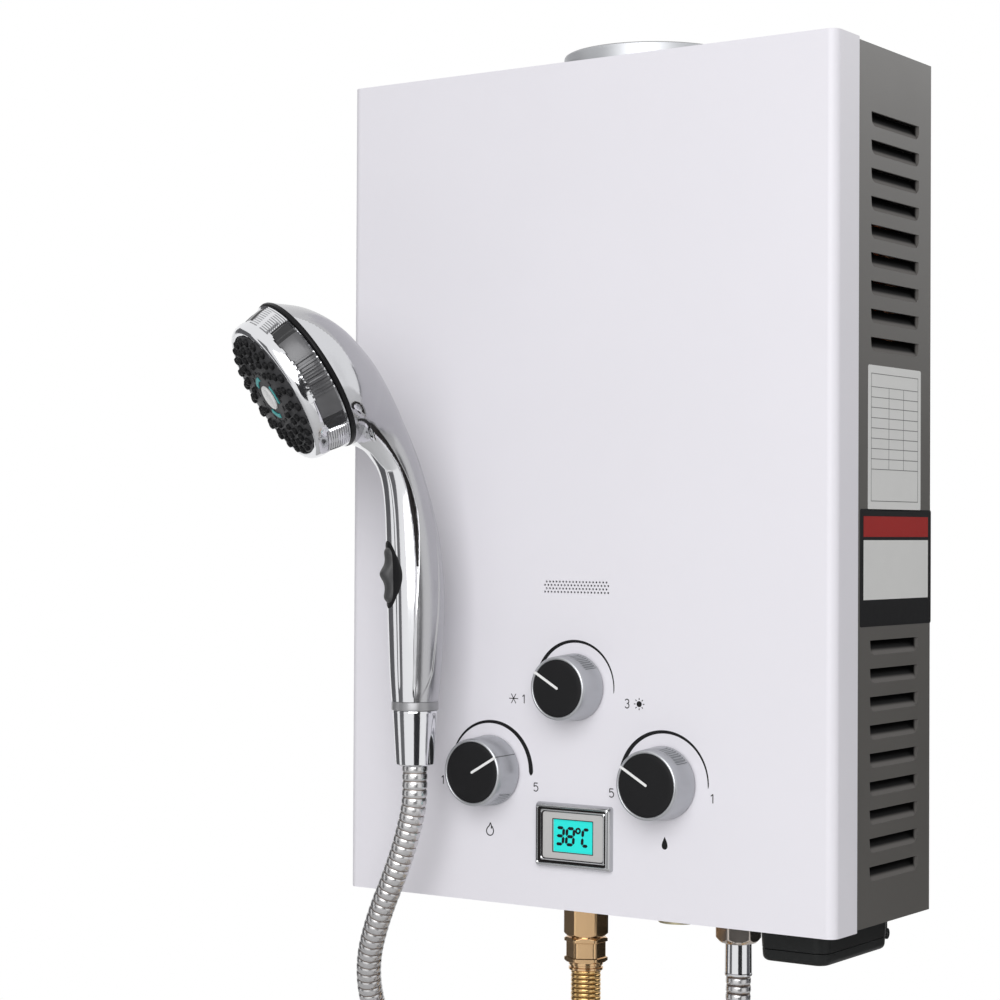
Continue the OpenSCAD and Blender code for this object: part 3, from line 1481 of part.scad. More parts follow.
front_cover();
rear_case();
top_panel();
bottom_panel();
hanger_bracket();
wall_rail();
case_screws();
flue_collar();
draft_hood();
heat_exchanger();
combustion_chamber();
burner();
gas_manifold();
ignition_electrodes();
gas_valve();
season_valve();
water_valve();
water_pipes();
valve_push_rod();
microswitch();
ignition_controller();
wiring_harness();
battery_box();
batteries();
battery_contacts();
battery_door();
battery_door_pin();
season_knob();
season_knob_cap();
season_spindle();
gas_knob();
gas_knob_cap();
gas_spindle();
water_knob();
water_knob_cap();
water_spindle();
display_bezel();
display_window();
display_screen();
gas_inlet_fitting();
water_inlet_fitting();
water_outlet_fitting();
gas_hose_nut();
outlet_hose_nut();
hose_ferrules();
gas_hose();
gas_hose_coil();
gas_supply_nut();
shower_hose_lower();
shower_hose_coil();
shower_hose_upper();
shower_hose_nut();
hose_ties();
handset_shell();
handset_collar();
handset_seal();
spray_selector();
spray_face();
thumb_switch();
shower_holder();
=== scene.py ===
import json
import math
import bpy
import bmesh
import numpy as np
from mathutils import Matrix, Vector


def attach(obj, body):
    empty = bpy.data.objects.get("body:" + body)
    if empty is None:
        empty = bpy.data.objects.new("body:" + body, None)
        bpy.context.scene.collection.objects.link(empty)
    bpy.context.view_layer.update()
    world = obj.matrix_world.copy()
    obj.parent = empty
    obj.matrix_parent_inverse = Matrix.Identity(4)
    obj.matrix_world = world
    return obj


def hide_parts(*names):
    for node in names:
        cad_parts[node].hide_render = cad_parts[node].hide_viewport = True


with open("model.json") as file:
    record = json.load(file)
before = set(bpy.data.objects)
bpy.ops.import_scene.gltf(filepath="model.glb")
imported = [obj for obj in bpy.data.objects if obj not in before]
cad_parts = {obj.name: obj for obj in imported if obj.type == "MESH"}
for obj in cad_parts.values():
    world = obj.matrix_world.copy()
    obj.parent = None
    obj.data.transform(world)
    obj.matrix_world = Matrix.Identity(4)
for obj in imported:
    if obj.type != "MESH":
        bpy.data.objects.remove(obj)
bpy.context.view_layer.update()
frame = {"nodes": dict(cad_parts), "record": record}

nodes = frame["nodes"]
body_of = {n: b for b, ns in frame["record"]["behaviour"]["bodies"].items() for n in ns}
tau = 2 * math.pi


def in_scene(name, data):
    """A new object with its data, put in the scene."""
    ob = bpy.data.objects.new(name, data)
    bpy.context.scene.collection.objects.link(ob)
    return ob


# ---- camera
cam = in_scene("camera", bpy.data.cameras.new("camera"))
cam.data.lens = 85.90
cam.data.sensor_width = 36
cam.data.clip_start = 0.05
right = Vector((0.8209, 0.5710, 0.0049))
forward = Vector((-0.5710, 0.8208, 0.0130)).normalized()
up = right.cross(forward).normalized()
right = forward.cross(up)
cam.matrix_world = Matrix.Translation((0.65656, -1.12356, -0.21854)) @ Matrix(
    (right, up, -forward)).transposed().to_4x4()
bpy.context.scene.camera = cam
bpy.context.scene.view_settings.view_transform = "Standard"

# ---- sizes of the cabinet, in millimetres
face_y, seam_y = -112.0, -87.8
cover_half, cover_top, cover_foot = 145.0, 20.0, -410.0
case_half, case_top, case_foot = 144.0, 19.0, -409.0
vent_front, vent_back = -74.0, -17.0
fitting_y, gas_x, hot_x = -50.0, -33.0, 59.5
flue_at = (7, -52, 0)
print_t = 0.07


# ---- mesh work
def grid_faces(n, m, ring=False, loop=False):
    """Quads between the rows of an n by m grid of points, numbered row by row.
    ring joins each row's end to its start, and loop joins the last row to the first."""
    i = np.arange(n if loop else n - 1)[:, None]
    j = np.arange(m if ring else m - 1)[None, :]
    i2, j2 = (i + 1) % n, (j + 1) % m
    return np.stack([i * m + j, i * m + j2, i2 * m + j2, i2 * m + j], -1).reshape(-1, 4).tolist()


def closed(rows):
    """Points and faces of rings of points, each joined to the next and the last to the first."""
    return rows, grid_faces(len(rows), len(rows[0]), ring=True, loop=True)


def bar_faces(n, m=4):
    """The faces of a bar or tube of n sections with m points each, with both ends closed."""
    return grid_faces(n, m, ring=True) + [list(range(m))[::-1], [(n - 1) * m + k for k in range(m)]]


def place(me, body, replaces=()):
    """A finished mesh as a piece that rides on a body, and stands for the nodes in `replaces`."""
    ob = in_scene(me.name, me)
    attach(ob, body)
    if replaces:
        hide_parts(*([replaces] if isinstance(replaces, str) else replaces))
    return ob


def piece(name, points, faces, body, looks, smooth=40, replaces=(), which=None):
    """A mesh from points in millimetres, riding on a body. Faces are turned outwards, and edges
    sharper than `smooth` degrees stay sharp. With several finishes, `which` says each face's."""
    me = bpy.data.meshes.new(name)
    me.from_pydata((np.asarray(points, float).reshape(-1, 3) * 0.001).tolist(), [], faces)
    for look in looks if isinstance(looks, list) else [looks]:
        me.materials.append(look)
    if which is not None:
        me.polygons.foreach_set("material_index", np.asarray(which, np.int32))
    bm = bmesh.new()
    bm.from_mesh(me)
    bmesh.ops.remove_doubles(bm, verts=bm.verts, dist=1e-6)
    bmesh.ops.recalc_face_normals(bm, faces=bm.faces)
    bm.to_mesh(me)
    bm.free()
    me.shade_smooth()
    me.set_sharp_from_angle(angle=math.radians(smooth))
    return place(me, body, replaces)


def join(parts):
    """One list of points and faces out of several (points, faces) pairs, and which pair each face is from."""
    points, faces, which, at = [], [], [], 0
    for k, (p, f) in enumerate(parts):
        p = np.asarray(p, float).reshape(-1, 3)
        points.append(p)
        faces += [[i + at for i in q] for q in f]
        which += [k] * len(f)
        at += len(p)
    return np.concatenate(points), faces, which


def lathe(profile, n=96, centre=(0, 0, 0), turn=np.eye(3)):
    """A profile of (radius, height) turned about Z: x = r cos a, y = r sin a, z = h.
    turn is a 3 by 3 matrix for where Z points, and centre is where the origin goes."""
    pr = np.asarray(profile, float)
    a = np.arange(n) * tau / n
    pts = np.stack([pr[:, :1] * np.cos(a), pr[:, :1] * np.sin(a), np.repeat(pr[:, 1:], n, 1)], -1)
    return pts.reshape(-1, 3) @ turn.T + centre, grid_faces(len(pr), n, ring=True, loop=True)


def rounded(bm, width, segments, keep):
    """Rounds the sharp edges for which keep(middle, first normal, second normal) is true. Places and
    the width are in mm."""
    edges = [e for e in bm.edges if len(e.link_faces) == 2 and e.calc_face_angle(0) > 0.35 and e.is_convex
             and keep((e.verts[0].co + e.verts[1].co) * 500, e.link_faces[0].normal, e.link_faces[1].normal)]
    if edges:
        bmesh.ops.bevel(bm, geom=edges, offset=width * 0.001, offset_type="OFFSET", segments=segments,
                        profile=0.5, affect="EDGES", clamp_overlap=True)


def smooth_copy(node, finish, edges=(), angle=20, reshape=None, inside=None):
    """A copy of a CAD node: its triangles are merged, the picked edges are rounded, curves shade
    smoothly and flat faces stay flat; it stands for the node. inside = (a second finish, which faces
    have it, by middle in mm and normal)."""
    bm = bmesh.new()
    bm.from_mesh(nodes[node].data)
    bmesh.ops.remove_doubles(bm, verts=bm.verts, dist=2e-6)
    if edges:
        bmesh.ops.dissolve_limit(bm, angle_limit=math.radians(0.5), verts=bm.verts, edges=bm.edges)
        for width, segments, keep in edges:
            bm.normal_update()
            rounded(bm, width, segments, keep)
    if reshape:
        p = np.array([v.co for v in bm.verts]) * 1000
        for v, q in zip(bm.verts, reshape(p) * 0.001):
            v.co = q
    me = bpy.data.meshes.new(node + "_shape")
    me.materials.append(finish)
    if inside:
        me.materials.append(inside[0])
        bm.normal_update()
        for f in bm.faces:
            f.material_index = int(inside[1](f.calc_center_median() * 1000, f.normal))
    bm.to_mesh(me)
    bm.free()
    me.shade_smooth()
    me.set_sharp_from_angle(angle=math.radians(angle))
    ob = place(me, body_of[node], node)
    m = ob.modifiers.new("flat_faces", "WEIGHTED_NORMAL")
    m.keep_sharp = True
    return ob


def curve_points(route, per=12):
    """Points on the smooth curve through a route: Catmull-Rom, with `per` steps a stretch."""
    p = np.asarray(route, float)
    p = np.vstack([2 * p[0] - p[1], p, 2 * p[-1] - p[-2]])
    out = []
    for i in range(1, len(p) - 2):
        t = (np.arange(per) / per)[:, None]
        a, b, c, d = p[i - 1:i + 3]
        out.append(0.5 * (2 * b + t * (c - a) + t * t * (2 * a - 5 * b + 4 * c - d)
                          + t ** 3 * (3 * b - a - 3 * c + d)))
    return np.vstack(out + [p[-2:-1]])


def evenly(points, step):
    """The same line, cut into equal steps close to `step`, and its length."""
    d = np.r_[0, np.cumsum(np.linalg.norm(np.diff(points, axis=0), axis=1))]
    s = np.linspace(0, d[-1], max(2, int(round(d[-1] / step))) + 1)
    return np.stack([np.interp(s, d, points[:, k]) for k in range(3)], 1), d[-1]


def ribbed_tube(centres, radius, sides=24):
    """A tube round a line of centres. The radius at arc length s is radius(s), and each ring is
    square to the line; both ends are closed."""
    c = np.asarray(centres, float)
    h = np.gradient(c, axis=0)
    h /= np.linalg.norm(h, axis=1)[:, None]
    s = np.r_[0, np.cumsum(np.linalg.norm(np.diff(c, axis=0), axis=1))]
    e = np.cross(h, [0.0, 1.0, 0.0])
    e /= np.linalg.norm(e, axis=1)[:, None]
    f = np.cross(h, e)
    a = np.arange(sides) * tau / sides
    r = radius(s)[:, None, None]
    pts = c[:, None] + r * (np.cos(a)[None, :, None] * e[:, None] + np.sin(a)[None, :, None] * f[:, None])
    return pts.reshape(-1, 3), bar_faces(len(c), sides), s


def spiral_ribs(radius, depth, pitch, narrow):
    """The radius along a wound hose: a row of ribs with grooves between them. The higher `narrow`,
    the narrower the grooves and the flatter the ribs: radius - depth |cos(pi s / pitch)|^narrow."""
    return lambda s: radius - depth * np.abs(np.cos(math.pi * s / pitch)) ** narrow


def smoothstep(x, a, b):
    """0 below a and 1 above b, with a soft S between them: t t (3 - 2 t)."""
    t = np.clip((x - a) / (b - a), 0, 1)
    return t * t * (3 - 2 * t)


# ---- finishes
def add(tree, kind, values=(), links=(), **settings):
    """A new shader node: its settings, then values on its sockets, then links into them."""
    node = tree.nodes.new("ShaderNode" + kind)
    for key, value in settings.items():
        setattr(node, key, value)
    for key, value in dict(values).items():
        node.inputs[key].default_value = value
    for key, output in dict(links).items():
        tree.links.new(output, node.inputs[key])
    return node


def finish(name, colour, rough=0.4, metal=0.0, mottle=0.03, size=40, grain=0.0, grain_size=900,
           coat=0.0, spread=0.06, stretch=(1, 1, 1), spec=0.5, glow=None, deep=None):
    """A painted, moulded or plated finish: soft colour mottle, uneven gloss and a fine grain bump.
    size and grain_size are cells per metre. With deep = (x0, x1) the colour goes to near black from distance
    x0
    to x1 from the middle plane, in metres: painted shade, for the shade down inside a pressed vent."""
    m = bpy.data.materials.new(name)
    m.use_nodes = True
    m.diffuse_color = (*colour, 1)
    t = m.node_tree
    b = t.nodes["Principled BSDF"]
    for key, value in (("Metallic", metal), ("Specular IOR Level", spec), ("Coat Weight", coat),
                       ("Coat Roughness", 0.08)):
        b.inputs[key].default_value = value
    where = add(t, "TexCoord").outputs["Object"]
    laid = add(t, "Mapping", {"Scale": stretch}, {"Vector": where}).outputs["Vector"]
    cloud = add(t, "TexNoise", {"Scale": size, "Detail": 3}, {"Vector": laid}).outputs["Fac"]
    low, high = ((*np.clip(np.array(colour) * k, 0, 1), 1) for k in (1 - mottle, 1 + mottle))
    base = add(t, "Mix", {"A": low, "B": high}, {"Factor": cloud}, data_type="RGBA").outputs["Result"]
    # Painted shade: deeper in from the side the colour is mixed to near black.
    if deep:
        x = add(t, "SeparateXYZ", (), {"Vector": where}).outputs["X"]
        off = add(t, "Math", (), {0: x}, operation="ABSOLUTE").outputs[0]
        far = add(t, "MapRange", {"From Min": deep[0], "From Max": deep[1]}, {"Value": off},
                  interpolation_type="SMOOTHSTEP").outputs["Result"]
        base = add(t, "Mix", {"B": (0.002, 0.002, 0.002, 1)}, {"A": base, "Factor": far},
                   data_type="RGBA").outputs["Result"]
    t.links.new(base, b.inputs["Base Color"])
    gloss = add(t, "MapRange", {"To Min": max(0.0, rough - spread), "To Max": min(1.0, rough + spread)},
                {"Value": cloud})
    t.links.new(gloss.outputs["Result"], b.inputs["Roughness"])
    if grain:
        fine = add(t, "TexNoise", {"Scale": grain_size, "Detail": 2}, {"Vector": laid}).outputs["Fac"]
        bump = add(t, "Bump", {"Strength": grain, "Distance": 0.0002}, {"Height": fine})
        t.links.new(bump.outputs["Normal"], b.inputs["Normal"])
    if glow:
        b.inputs["Emission Color"].default_value = (*glow[:3], 1)
        b.inputs["Emission Strength"].default_value = glow[3]
    return m


white_coat = finish("white_coat", (0.79, 0.775, 0.825), 0.42, 0, 0.012, 14, 0.04, 1500, spec=0.35)
grey_coat = finish("grey_coat", (0.110, 0.105, 0.098), 0.38, 0, 0.05, 18, 0.06, 1400, spec=0.45)
# Painted shade for the pressed louvre faces: a slightly lighter, duller coat that goes to near black deeper
# in.
vent_shade_coat = finish("vent_shade_coat", (0.135, 0.128, 0.122), 0.6, 0, 0.05, 18, 0.06, 1400, spec=0.05,
                   deep=(0.1432, 0.1420))
zinc = finish("zinc_steel", (0.62, 0.63, 0.64), 0.38, 0.9, 0.06, 60, 0.05, 500)
spun = finish("spun_aluminium", (0.55, 0.56, 0.58), 0.5, 1.0, 0.06, 30, 0.05, 300, stretch=(1, 1, 8))
# A darker steel for the collar's bead: painted shade.
bead_shade_steel = finish("bead_shade_steel", (0.34, 0.345, 0.35), 0.35, 1.0, 0.06, 30, 0.05, 300)
mill = finish("mill_sheet", (0.66, 0.67, 0.68), 0.35, 0.9, 0.06, 40, 0.06, 600)
copper = finish("bright_copper", (0.80, 0.42, 0.26), 0.3, 1.0, 0.12, 25, 0.05, 500)
brass = finish("turned_brass", (0.66, 0.44, 0.24), 0.17, 1.0, 0.08, 60, 0.03, 900, spread=0.05)
dull_brass = finish("cast_brass", (0.50, 0.45, 0.30), 0.42, 0.8, 0.1, 60, 0.25, 700)
alloy = finish("cast_alloy", (0.60, 0.61, 0.62), 0.45, 0.8, 0.06, 60, 0.3, 800)
ceramic = finish("electrode_ceramic", (0.86, 0.85, 0.80), 0.25, 0, 0.03, 80)
black = finish("black_plastic", (0.014, 0.015, 0.015), 0.45, 0, 0.15, 60, 0.12, 1800, spec=0.2)
jacket = finish("wire_jacket", (0.04, 0.04, 0.05), 0.5, 0, 0.15, 200)
cell = finish("cell_jacket", (0.05, 0.08, 0.16), 0.3, 0.3, 0.06, 60)
silver = finish("knob_silver", (0.46, 0.47, 0.49), 0.32, 0.8, 0.03, 80, 0.04, 1800)
# A darker silver for the deepest stripes of the knobs' grips: painted shade.
grip_shade_silver = finish("grip_shade_silver", (0.25, 0.26, 0.27), 0.45, 0.6, 0.05, 80, 0.04, 1800)
chrome = finish("chrome", (0.74, 0.745, 0.765), 0.1, 1.0, 0.02, 40, spread=0.03)
pale_chrome = finish("pale_chrome", (0.64, 0.645, 0.67), 0.16, 1.0, 0.02, 40, spread=0.03)
bezel_chrome = finish("bezel_chrome", (0.50, 0.505, 0.515), 0.12, 1.0, 0.05, 90, spread=0.05)
satin_chrome = finish("satin_chrome", (0.46, 0.46, 0.475), 0.24, 1.0, 0.03, 40, spread=0.04)
nickel = finish("nickel", (0.62, 0.56, 0.51), 0.14, 1.0, 0.06, 60, spread=0.04)
grey_ring = finish("grey_ring", (0.30, 0.30, 0.31), 0.3, 0.4, 0.04, 80)
rubber = finish("black_rubber", (0.008, 0.008, 0.009), 0.5, 0, 0.2, 200, 0.1, 1500, spec=0.15)
seal_black = finish("seal_black", (0.008, 0.008, 0.009), 0.35, 0, 0.15, 120, spec=0.12)
boot_grey = finish("boot_rubber", (0.045, 0.045, 0.047), 0.5, 0, 0.15, 150, 0.1, 1500)
charcoal = finish("charcoal_plate", (0.050, 0.050, 0.053), 0.45, 0, 0.15, 110, 0.08, 1500, spec=0.15)
mask_grey = finish("mask_grey", (0.52, 0.515, 0.51), 0.35, 0, 0.02, 60, 0.04, 1500)
cyan = finish("screen_cyan", (0.025, 0.58, 0.53), 0.3, 0, 0.03, 60, spec=0.2, glow=(0.02, 0.66, 0.60, 0.38))
ink = finish("print_black", (0.010, 0.010, 0.011), 0.5, 0, 0.1, 200, spec=0.15)
rule_grey = finish("ruled_grey", (0.16, 0.16, 0.16), 0.4, 0, 0.05, 200)
paper = finish("plain_sticker", (0.70, 0.70, 0.69), 0.45, 0, 0.02, 120, 0.03, 1200)
red = finish("sticker_red", (0.34, 0.020, 0.018), 0.45, 0, 0.05, 120, spec=0.2)
pointer_white = finish("pointer_white", (0.82, 0.82, 0.82), 0.4, 0, 0.02, 200)
gold_hose = finish("gold_hose", (0.74, 0.48, 0.20), 0.2, 1.0, 0.08, 120, 0.04, 900)
# A darker gold in the gas hose's grooves: painted shade.
gold_groove_shade = finish("gold_groove_shade", (0.30, 0.18, 0.07), 0.4, 0.8, 0.1, 120)
chrome_hose = finish("chrome_hose", (0.60, 0.595, 0.60), 0.26, 1.0, 0.08, 150, 0.04, 900)
# A dark brownish colour in the shower hose's grooves: painted shade.
hose_groove_shade = finish("hose_groove_shade", (0.22, 0.18, 0.16), 0.4, 0.8, 0.08, 150)
knob_face = finish("knob_face", (0.013, 0.013, 0.014), 0.45, 0, 0.1, 90, 0.35, 2600, spec=0.12)
groove_grey = finish("groove_grey", (0.16, 0.165, 0.17), 0.4, 0.4, 0.05, 90)
smoked = finish("smoked_window", (0.10, 0.10, 0.105), 0.3, 0.3, 0.4, 55, coat=0.1)
smoked_dark = finish("smoked_end", (0.020, 0.020, 0.022), 0.25, 0.3, 0.4, 75, coat=0.1)
# A darker grey in the selector ring's turned grooves: painted shade.
turned_line_shade = finish("turned_line_shade", (0.24, 0.24, 0.25), 0.3, 0.9, 0.1, 90)
button_white = finish("button_white", (0.80, 0.80, 0.80), 0.25, 0, 0.02, 90)
teal = finish("teal_mark", (0.01, 0.36, 0.36), 0.35, 0, 0.05, 90)
# Near black, painted shade and dark reflection in grooves and hollows of bright metal.
painted_shade_dark = finish("painted_shade_dark", (0.014, 0.012, 0.012), 0.3, 0.3, 0.2, 90, spec=0.3)

# ---- hoses
gas_top, gas_coil_r, gas_step, gas_coil_z = -451.3, 92.0, 24.0, -600.0
shower_top, coil_side, coil_y, coil_z, coil_r, coil_step = -441.0, 40.0, -72.0, -570.0, 72.0, 14.4

lower_route = [
    (hot_x, fitting_y, shower_top), (hot_x, fitting_y, -454), (58.8, -50.8, -465),
    (56.7, -53.2, -476), (53.5, -56.8, -488), (49.8, -61, -499), (46, -65.2, -510),
    (42.8, -68.8, -522), (40.7, -71.2, -533), (coil_side, coil_y, -544), (coil_side, coil_y, -557)]
upper_route = [
    (-104, -108, -557), (-104, -108, -544), (-104.8, -109.5, -530), (-107.5, -113.5, -514),
    (-110.8, -119, -498), (-113, -125, -482), (-113.2, -131, -467), (-111.8, -136.5, -453),
    (-108, -141, -439), (-102, -144.3, -425), (-95.2, -146.3, -411), (-88.8, -147, -398),
    (-83, -147, -384), (-78.6, -147, -371), (-75.8, -147, -360), (-75, -147, -351), (-75, -147, -338)]


def coil_line(x, y, z, r, turns, step, a0, way, lead, end_way, per=72):
    """Centres of a coil in the X-Z plane: a turn every `step` in Y, and a straight lead at both ends."""
    k = np.arange(int(turns * per) + 1)
    a = a0 + way * tau * k / per
    mid = np.stack([x + r * np.cos(a), y + step * k / per, z + r * np.sin(a)], 1)
    return np.vstack([mid[0] + [0, 0, lead], mid, mid[-1] + [0, 0, end_way * lead]])


gas_line = np.vstack([
    [(gas_x, fitting_y, gas_top)],
    coil_line(gas_x + gas_coil_r, fitting_y, gas_coil_z, gas_coil_r, 1, gas_step, math.pi, 1, 16, -1)])
shower_line = np.vstack([
    curve_points(lower_route)[:-1],
    coil_line(coil_side - coil_r, coil_y, coil_z, coil_r, 2.5, -coil_step, 0, -1, 13, 1),
    curve_points(upper_route)[1:]])


def hose(name, line, radius, depth, pitch, narrow, looks, solids):
    """A ribbed hose along its line: ribs of the first finish, and in the grooves the second, a darker colour
    that is painted shade.
    """
    sides, steps = 20, 8
    centres, length = evenly(line, pitch / steps)
    pts, faces, s = ribbed_tube(centres, spiral_ribs(radius, depth, pitch, narrow), sides)
    row = np.minimum(np.arange(len(faces)) // sides, len(s) - 2)
    mid = (s[row] + s[row + 1]) / 2
    # Painted shade: the faces deep in the grooves take the darker second finish.
    groove_shade_faces = np.abs(np.cos(math.pi * mid / pitch)) ** narrow > 0.62
    ob = piece(name, pts, faces, "heater", looks, 60, solids, which=groove_shade_faces)


# ---- cabinet and inner pieces
inner = (
    (mill, "draft_hood"), (copper, "heat_exchanger combustion_chamber water_pipes"), (alloy, "gas_valve"),
    (zinc, "burner battery_contacts hanger_bracket wall_rail"), (ceramic, "ignition_electrodes"),
    (dull_brass, "gas_manifold season_valve water_valve water_outlet_fitting water_inlet_fitting"),
    (brass, "valve_push_rod season_spindle gas_spindle water_spindle gas_supply_nut"), (cell, "batteries"),
    (black, "microswitch ignition_controller battery_door_pin display_screen"),
    (jacket, "wiring_harness"), (grey_coat, "top_panel bottom_panel"))
made = {n: smooth_copy(n, look, angle=32) for look, names in inner for n in names.split()}


def every_edge(p, n1, n2):
    """All the sharp edges of a piece."""
    return True


def cover_fold(p, n1, n2):
    """The folds round the cover's top and bottom, and not those of the flue's notch."""
    side = n1 if abs(n1.z) < 0.5 else n2
    return min(abs(p.z - cover_top), abs(p.z - cover_foot)) < 0.01 and side.y < 0.1 and p.y < seam_y - 0.7


def cover_hem(p, n1, n2):
    """The outer edge of the cover's open back."""
    off = min(abs(abs(p.x) - cover_half), abs(p.z - cover_top), abs(p.z - cover_foot))
    return abs(p.y - seam_y) < 0.01 and off < 0.01


def vent_rim(p, n1, n2):
    """The rim of a louvre's window, on the outside of the case."""
    return abs(abs(p.x) - case_half) < 0.02 and vent_front < p.y < vent_back


def in_vent(p, n):
    """The faces pressed in behind a louvre's window, but not the flat inside of the case."""
    off = case_half - abs(p.x)
    return 0.05 < off < 7 and vent_front < p.y < vent_back and case_foot + 9 < p.z < case_top - 14 and not (
        abs(n.x) > 0.999 and abs(off - 1) < 0.05)


smooth_copy("front_cover", white_coat, [(0.9, 3, cover_fold), (0.3, 2, cover_hem)])
# The faces pressed in behind the louvres take the coat with painted shade, near black deeper in.
smooth_copy("rear_case", grey_coat, [(0.45, 2, vent_rim)], inside=(vent_shade_coat, in_vent))
smooth_copy("case_screws", zinc, [(0.35, 2, every_edge)], 30)
hose_ties = smooth_copy("hose_ties", black, angle=30)
smooth_copy("shower_holder", chrome, [(0.5, 2, every_edge)], 30)

# The battery box and its cap
cell_x, cell_y, box_top = 108.5, -50.0, -409.5
hinge_front, cap_top, cap_foot = -12.9, -422.8, -428.8


def battery_draft(p):
    """Below the case the box grows narrower: x and y shrink towards its middle by 4.5% in 20 mm."""
    k = 1 - np.clip((box_top - p[:, 2]) / 20, 0, 1) * 0.045 * (p[:, 1] < hinge_front)
    return np.stack([cell_x + (p[:, 0] - cell_x) * k, cell_y + (p[:, 1] - cell_y) * k, p[:, 2]], 1)


def box_rim(p, n1, n2):
    """The edges round the box's foot, clear of the hinge."""
    return p.z < cap_top + 0.4 and p.y < hinge_front - 0.1


def cap_sole(p, n1, n2):
    """The edges round the cap's underside."""
    return abs(p.z - cap_foot) < 0.01 and p.y < hinge_front


def cap_rim(p, n1, n2):
    """The edges round the cap's top, clear of the hinge."""
    return abs(p.z - cap_top) < 0.01 and p.y < hinge_front - 0.1


smooth_copy("battery_box", black, [(0.35, 2, box_rim)], 25, battery_draft)
smooth_copy("battery_door", black, [(2.6, 4, cap_sole), (0.35, 2, cap_rim)], 25, battery_draft)


def seam_shadow_strip():
    """A near black strip in the seam behind the cover, painted shadow of the gap there: a thin band round the
    case, 0.05 mm proud of it.
    """
    mid, half = (case_top + case_foot) / 2, (case_top - case_foot) / 2
    corners = ((1, 1), (-1, 1), (-1, -1), (1, -1))
    rows = [[(sx * (case_half + out), y, mid + sz * (half + out)) for sx, sz in corners]
            for out, y in ((0.05, seam_y + 0.02), (0.05, seam_y + 0.9), (-0.1, seam_y + 0.9),
                           (-0.1, seam_y + 0.02))]
    piece("seam_shadow_strip", *closed(rows), "heater", rubber, 30)


def flue_collar():
    """The flue's collar: a neck, a step out to the rim, and a bead rolled round its top. The bead and the
    inside of the rim are a darker steel, painted shade.
    """
    n = 160
    bead = [(45.1 + 0.9 * math.cos(q), 29.1 + 0.9 * math.sin(q)) for q in np.linspace(0, math.pi, 9)]
    neck = [(44.2, 4), (45, 4), (45, 20.8), (45.2, 21.1), (46, 21.5)]
    p, f = lathe(neck + bead + [(44.2, 28.6), (45.2, 28), (45.2, 21.8), (44.2, 21.2)], n, flue_at)
    row = np.arange(len(f)) // n
    # The bead and the rim's inside take the darker steel: painted shade.
    piece("flue_collar_shape", p, f, "heater", [spun, bead_shade_steel], 30, "flue_collar",
          which=(row >= 6) & (row < 16))


seam_shadow_strip()
flue_collar()


# ---- gas and water fittings
def turned(x, y, steps, n=240):
    """A fitting about a vertical axis: each step is (height, radius, flats), and the outline there is
    the smaller of that radius and of a hexagon of that size across its flats: flats / 2 over the
    cosine of the angle from the nearest flat. Steps close into a ring, from bore to outside and back."""
    z, r, flats = (np.array(q, float)[:, None] for q in zip(*steps))
    a = np.arange(n) * tau / n
    hexagon = flats / 2 / np.cos((a + tau / 12) % (tau / 6) - tau / 12)
    rr = np.where(flats > 0, np.minimum(r, hexagon), r)
    return closed(np.stack([x + rr * np.cos(a), y + rr * np.sin(a), z + 0 * rr], -1))


def chamfer(z0, r0, z1, r1, flats, n=6):
    """Steps of a turned corner between two heights: the radius grows evenly from r0 to r1."""
    return [(z, r, flats) for z, r in zip(np.linspace(z0, z1, n), np.linspace(r0, r1, n))]


def fitting(name, x, steps, look, node):
    """A turned fitting under the case, which stands for a node."""
    return piece(name, *turned(x, fitting_y, steps), "heater", look, 25, node)


adapter = [(-386, 5.5, 0), (-386, 10.4, 0), (-409, 10.4, 0)]
adapter += chamfer(-409, 10.4, -410.1, 11.8, 20.4) + chamfer(-432.3, 11.8, -433.5, 10.2, 20.4)
adapter += [(-433.5, 8, 0), (-443.2, 8, 0), (-443.2, 5.5, 0)]
fitting("gas_inlet_shape", gas_x, adapter, brass, "gas_inlet_fitting")

waisted = chamfer(-434.3, 10.5, -435.1, 11.6, 20.6)
waisted += [(-436.5, 11.6, 20.6), (-436.9, 10.5, 19), (-444.7, 10.5, 19), (-445.1, 11.6, 20.6)]
waisted += chamfer(-446.6, 11.6, -447.3, 10.5, 20.6)
waisted += [(-447.3, 5.5, 0), (-443.4, 5.5, 0), (-443.4, 8.05, 0), (-434.3, 8.05, 0)]
gas_nut = fitting("gas_hose_nut_shape", gas_x, waisted, brass, "gas_hose_nut")

crimp = [(0, 5.6), (0, 9.2), (-1.5, 9.2), (-1.8, 8.5), (-2.7, 8.5), (-3, 9.2), (-4.1, 9.2),
         (-4.5, 8.7), (-4.5, 5.6)]
sleeve = [(0, 4.1), (0, 6.5), (-0.5, 6.95), (-15.2, 7.05), (-15.6, 7.25), (-16.4, 7.2),
          (-16.8, 6.8), (-16.8, 4.1)]
p, f, w = join([turned(x, y, [(top + z, r, 0) for z, r in steps]) for x, y, top, steps in (
    (gas_x, fitting_y, -447.3, crimp), (gas_x, fitting_y + gas_step, -616, crimp),
    (hot_x, fitting_y, -428, sleeve))])
hose_ferrules = piece("hose_ferrules_shape", p, f, "heater", [brass, chrome], 25, "hose_ferrules",
                      which=np.array(w) == 2)

outlet = [(-410, 8.6, 0)] + chamfer(-410, 9.7, -411, 11.55, 20) + chamfer(-425.4, 11.55, -427.2, 9.9, 20)
outlet += [(-427.8, 9.2, 20), (-428, 8.4, 20), (-428, 4.1, 0), (-423.1, 4.1, 0), (-423.1, 8.6, 0)]
outlet_nut = fitting("outlet_hose_nut_shape", hot_x, outlet, nickel, "outlet_hose_nut")


# ---- knobs and their marks
dial_y = face_y - 0.6


def on_front(u, v, w, x=0.0, z=0.0, y0=dial_y):
    """Right, up and forward of a place on the cover to the row frame: X = x + u, Y = y0 - w, Z = z + v."""
    return np.stack([x + u, y0 - w + 0 * u, z + v], -1)


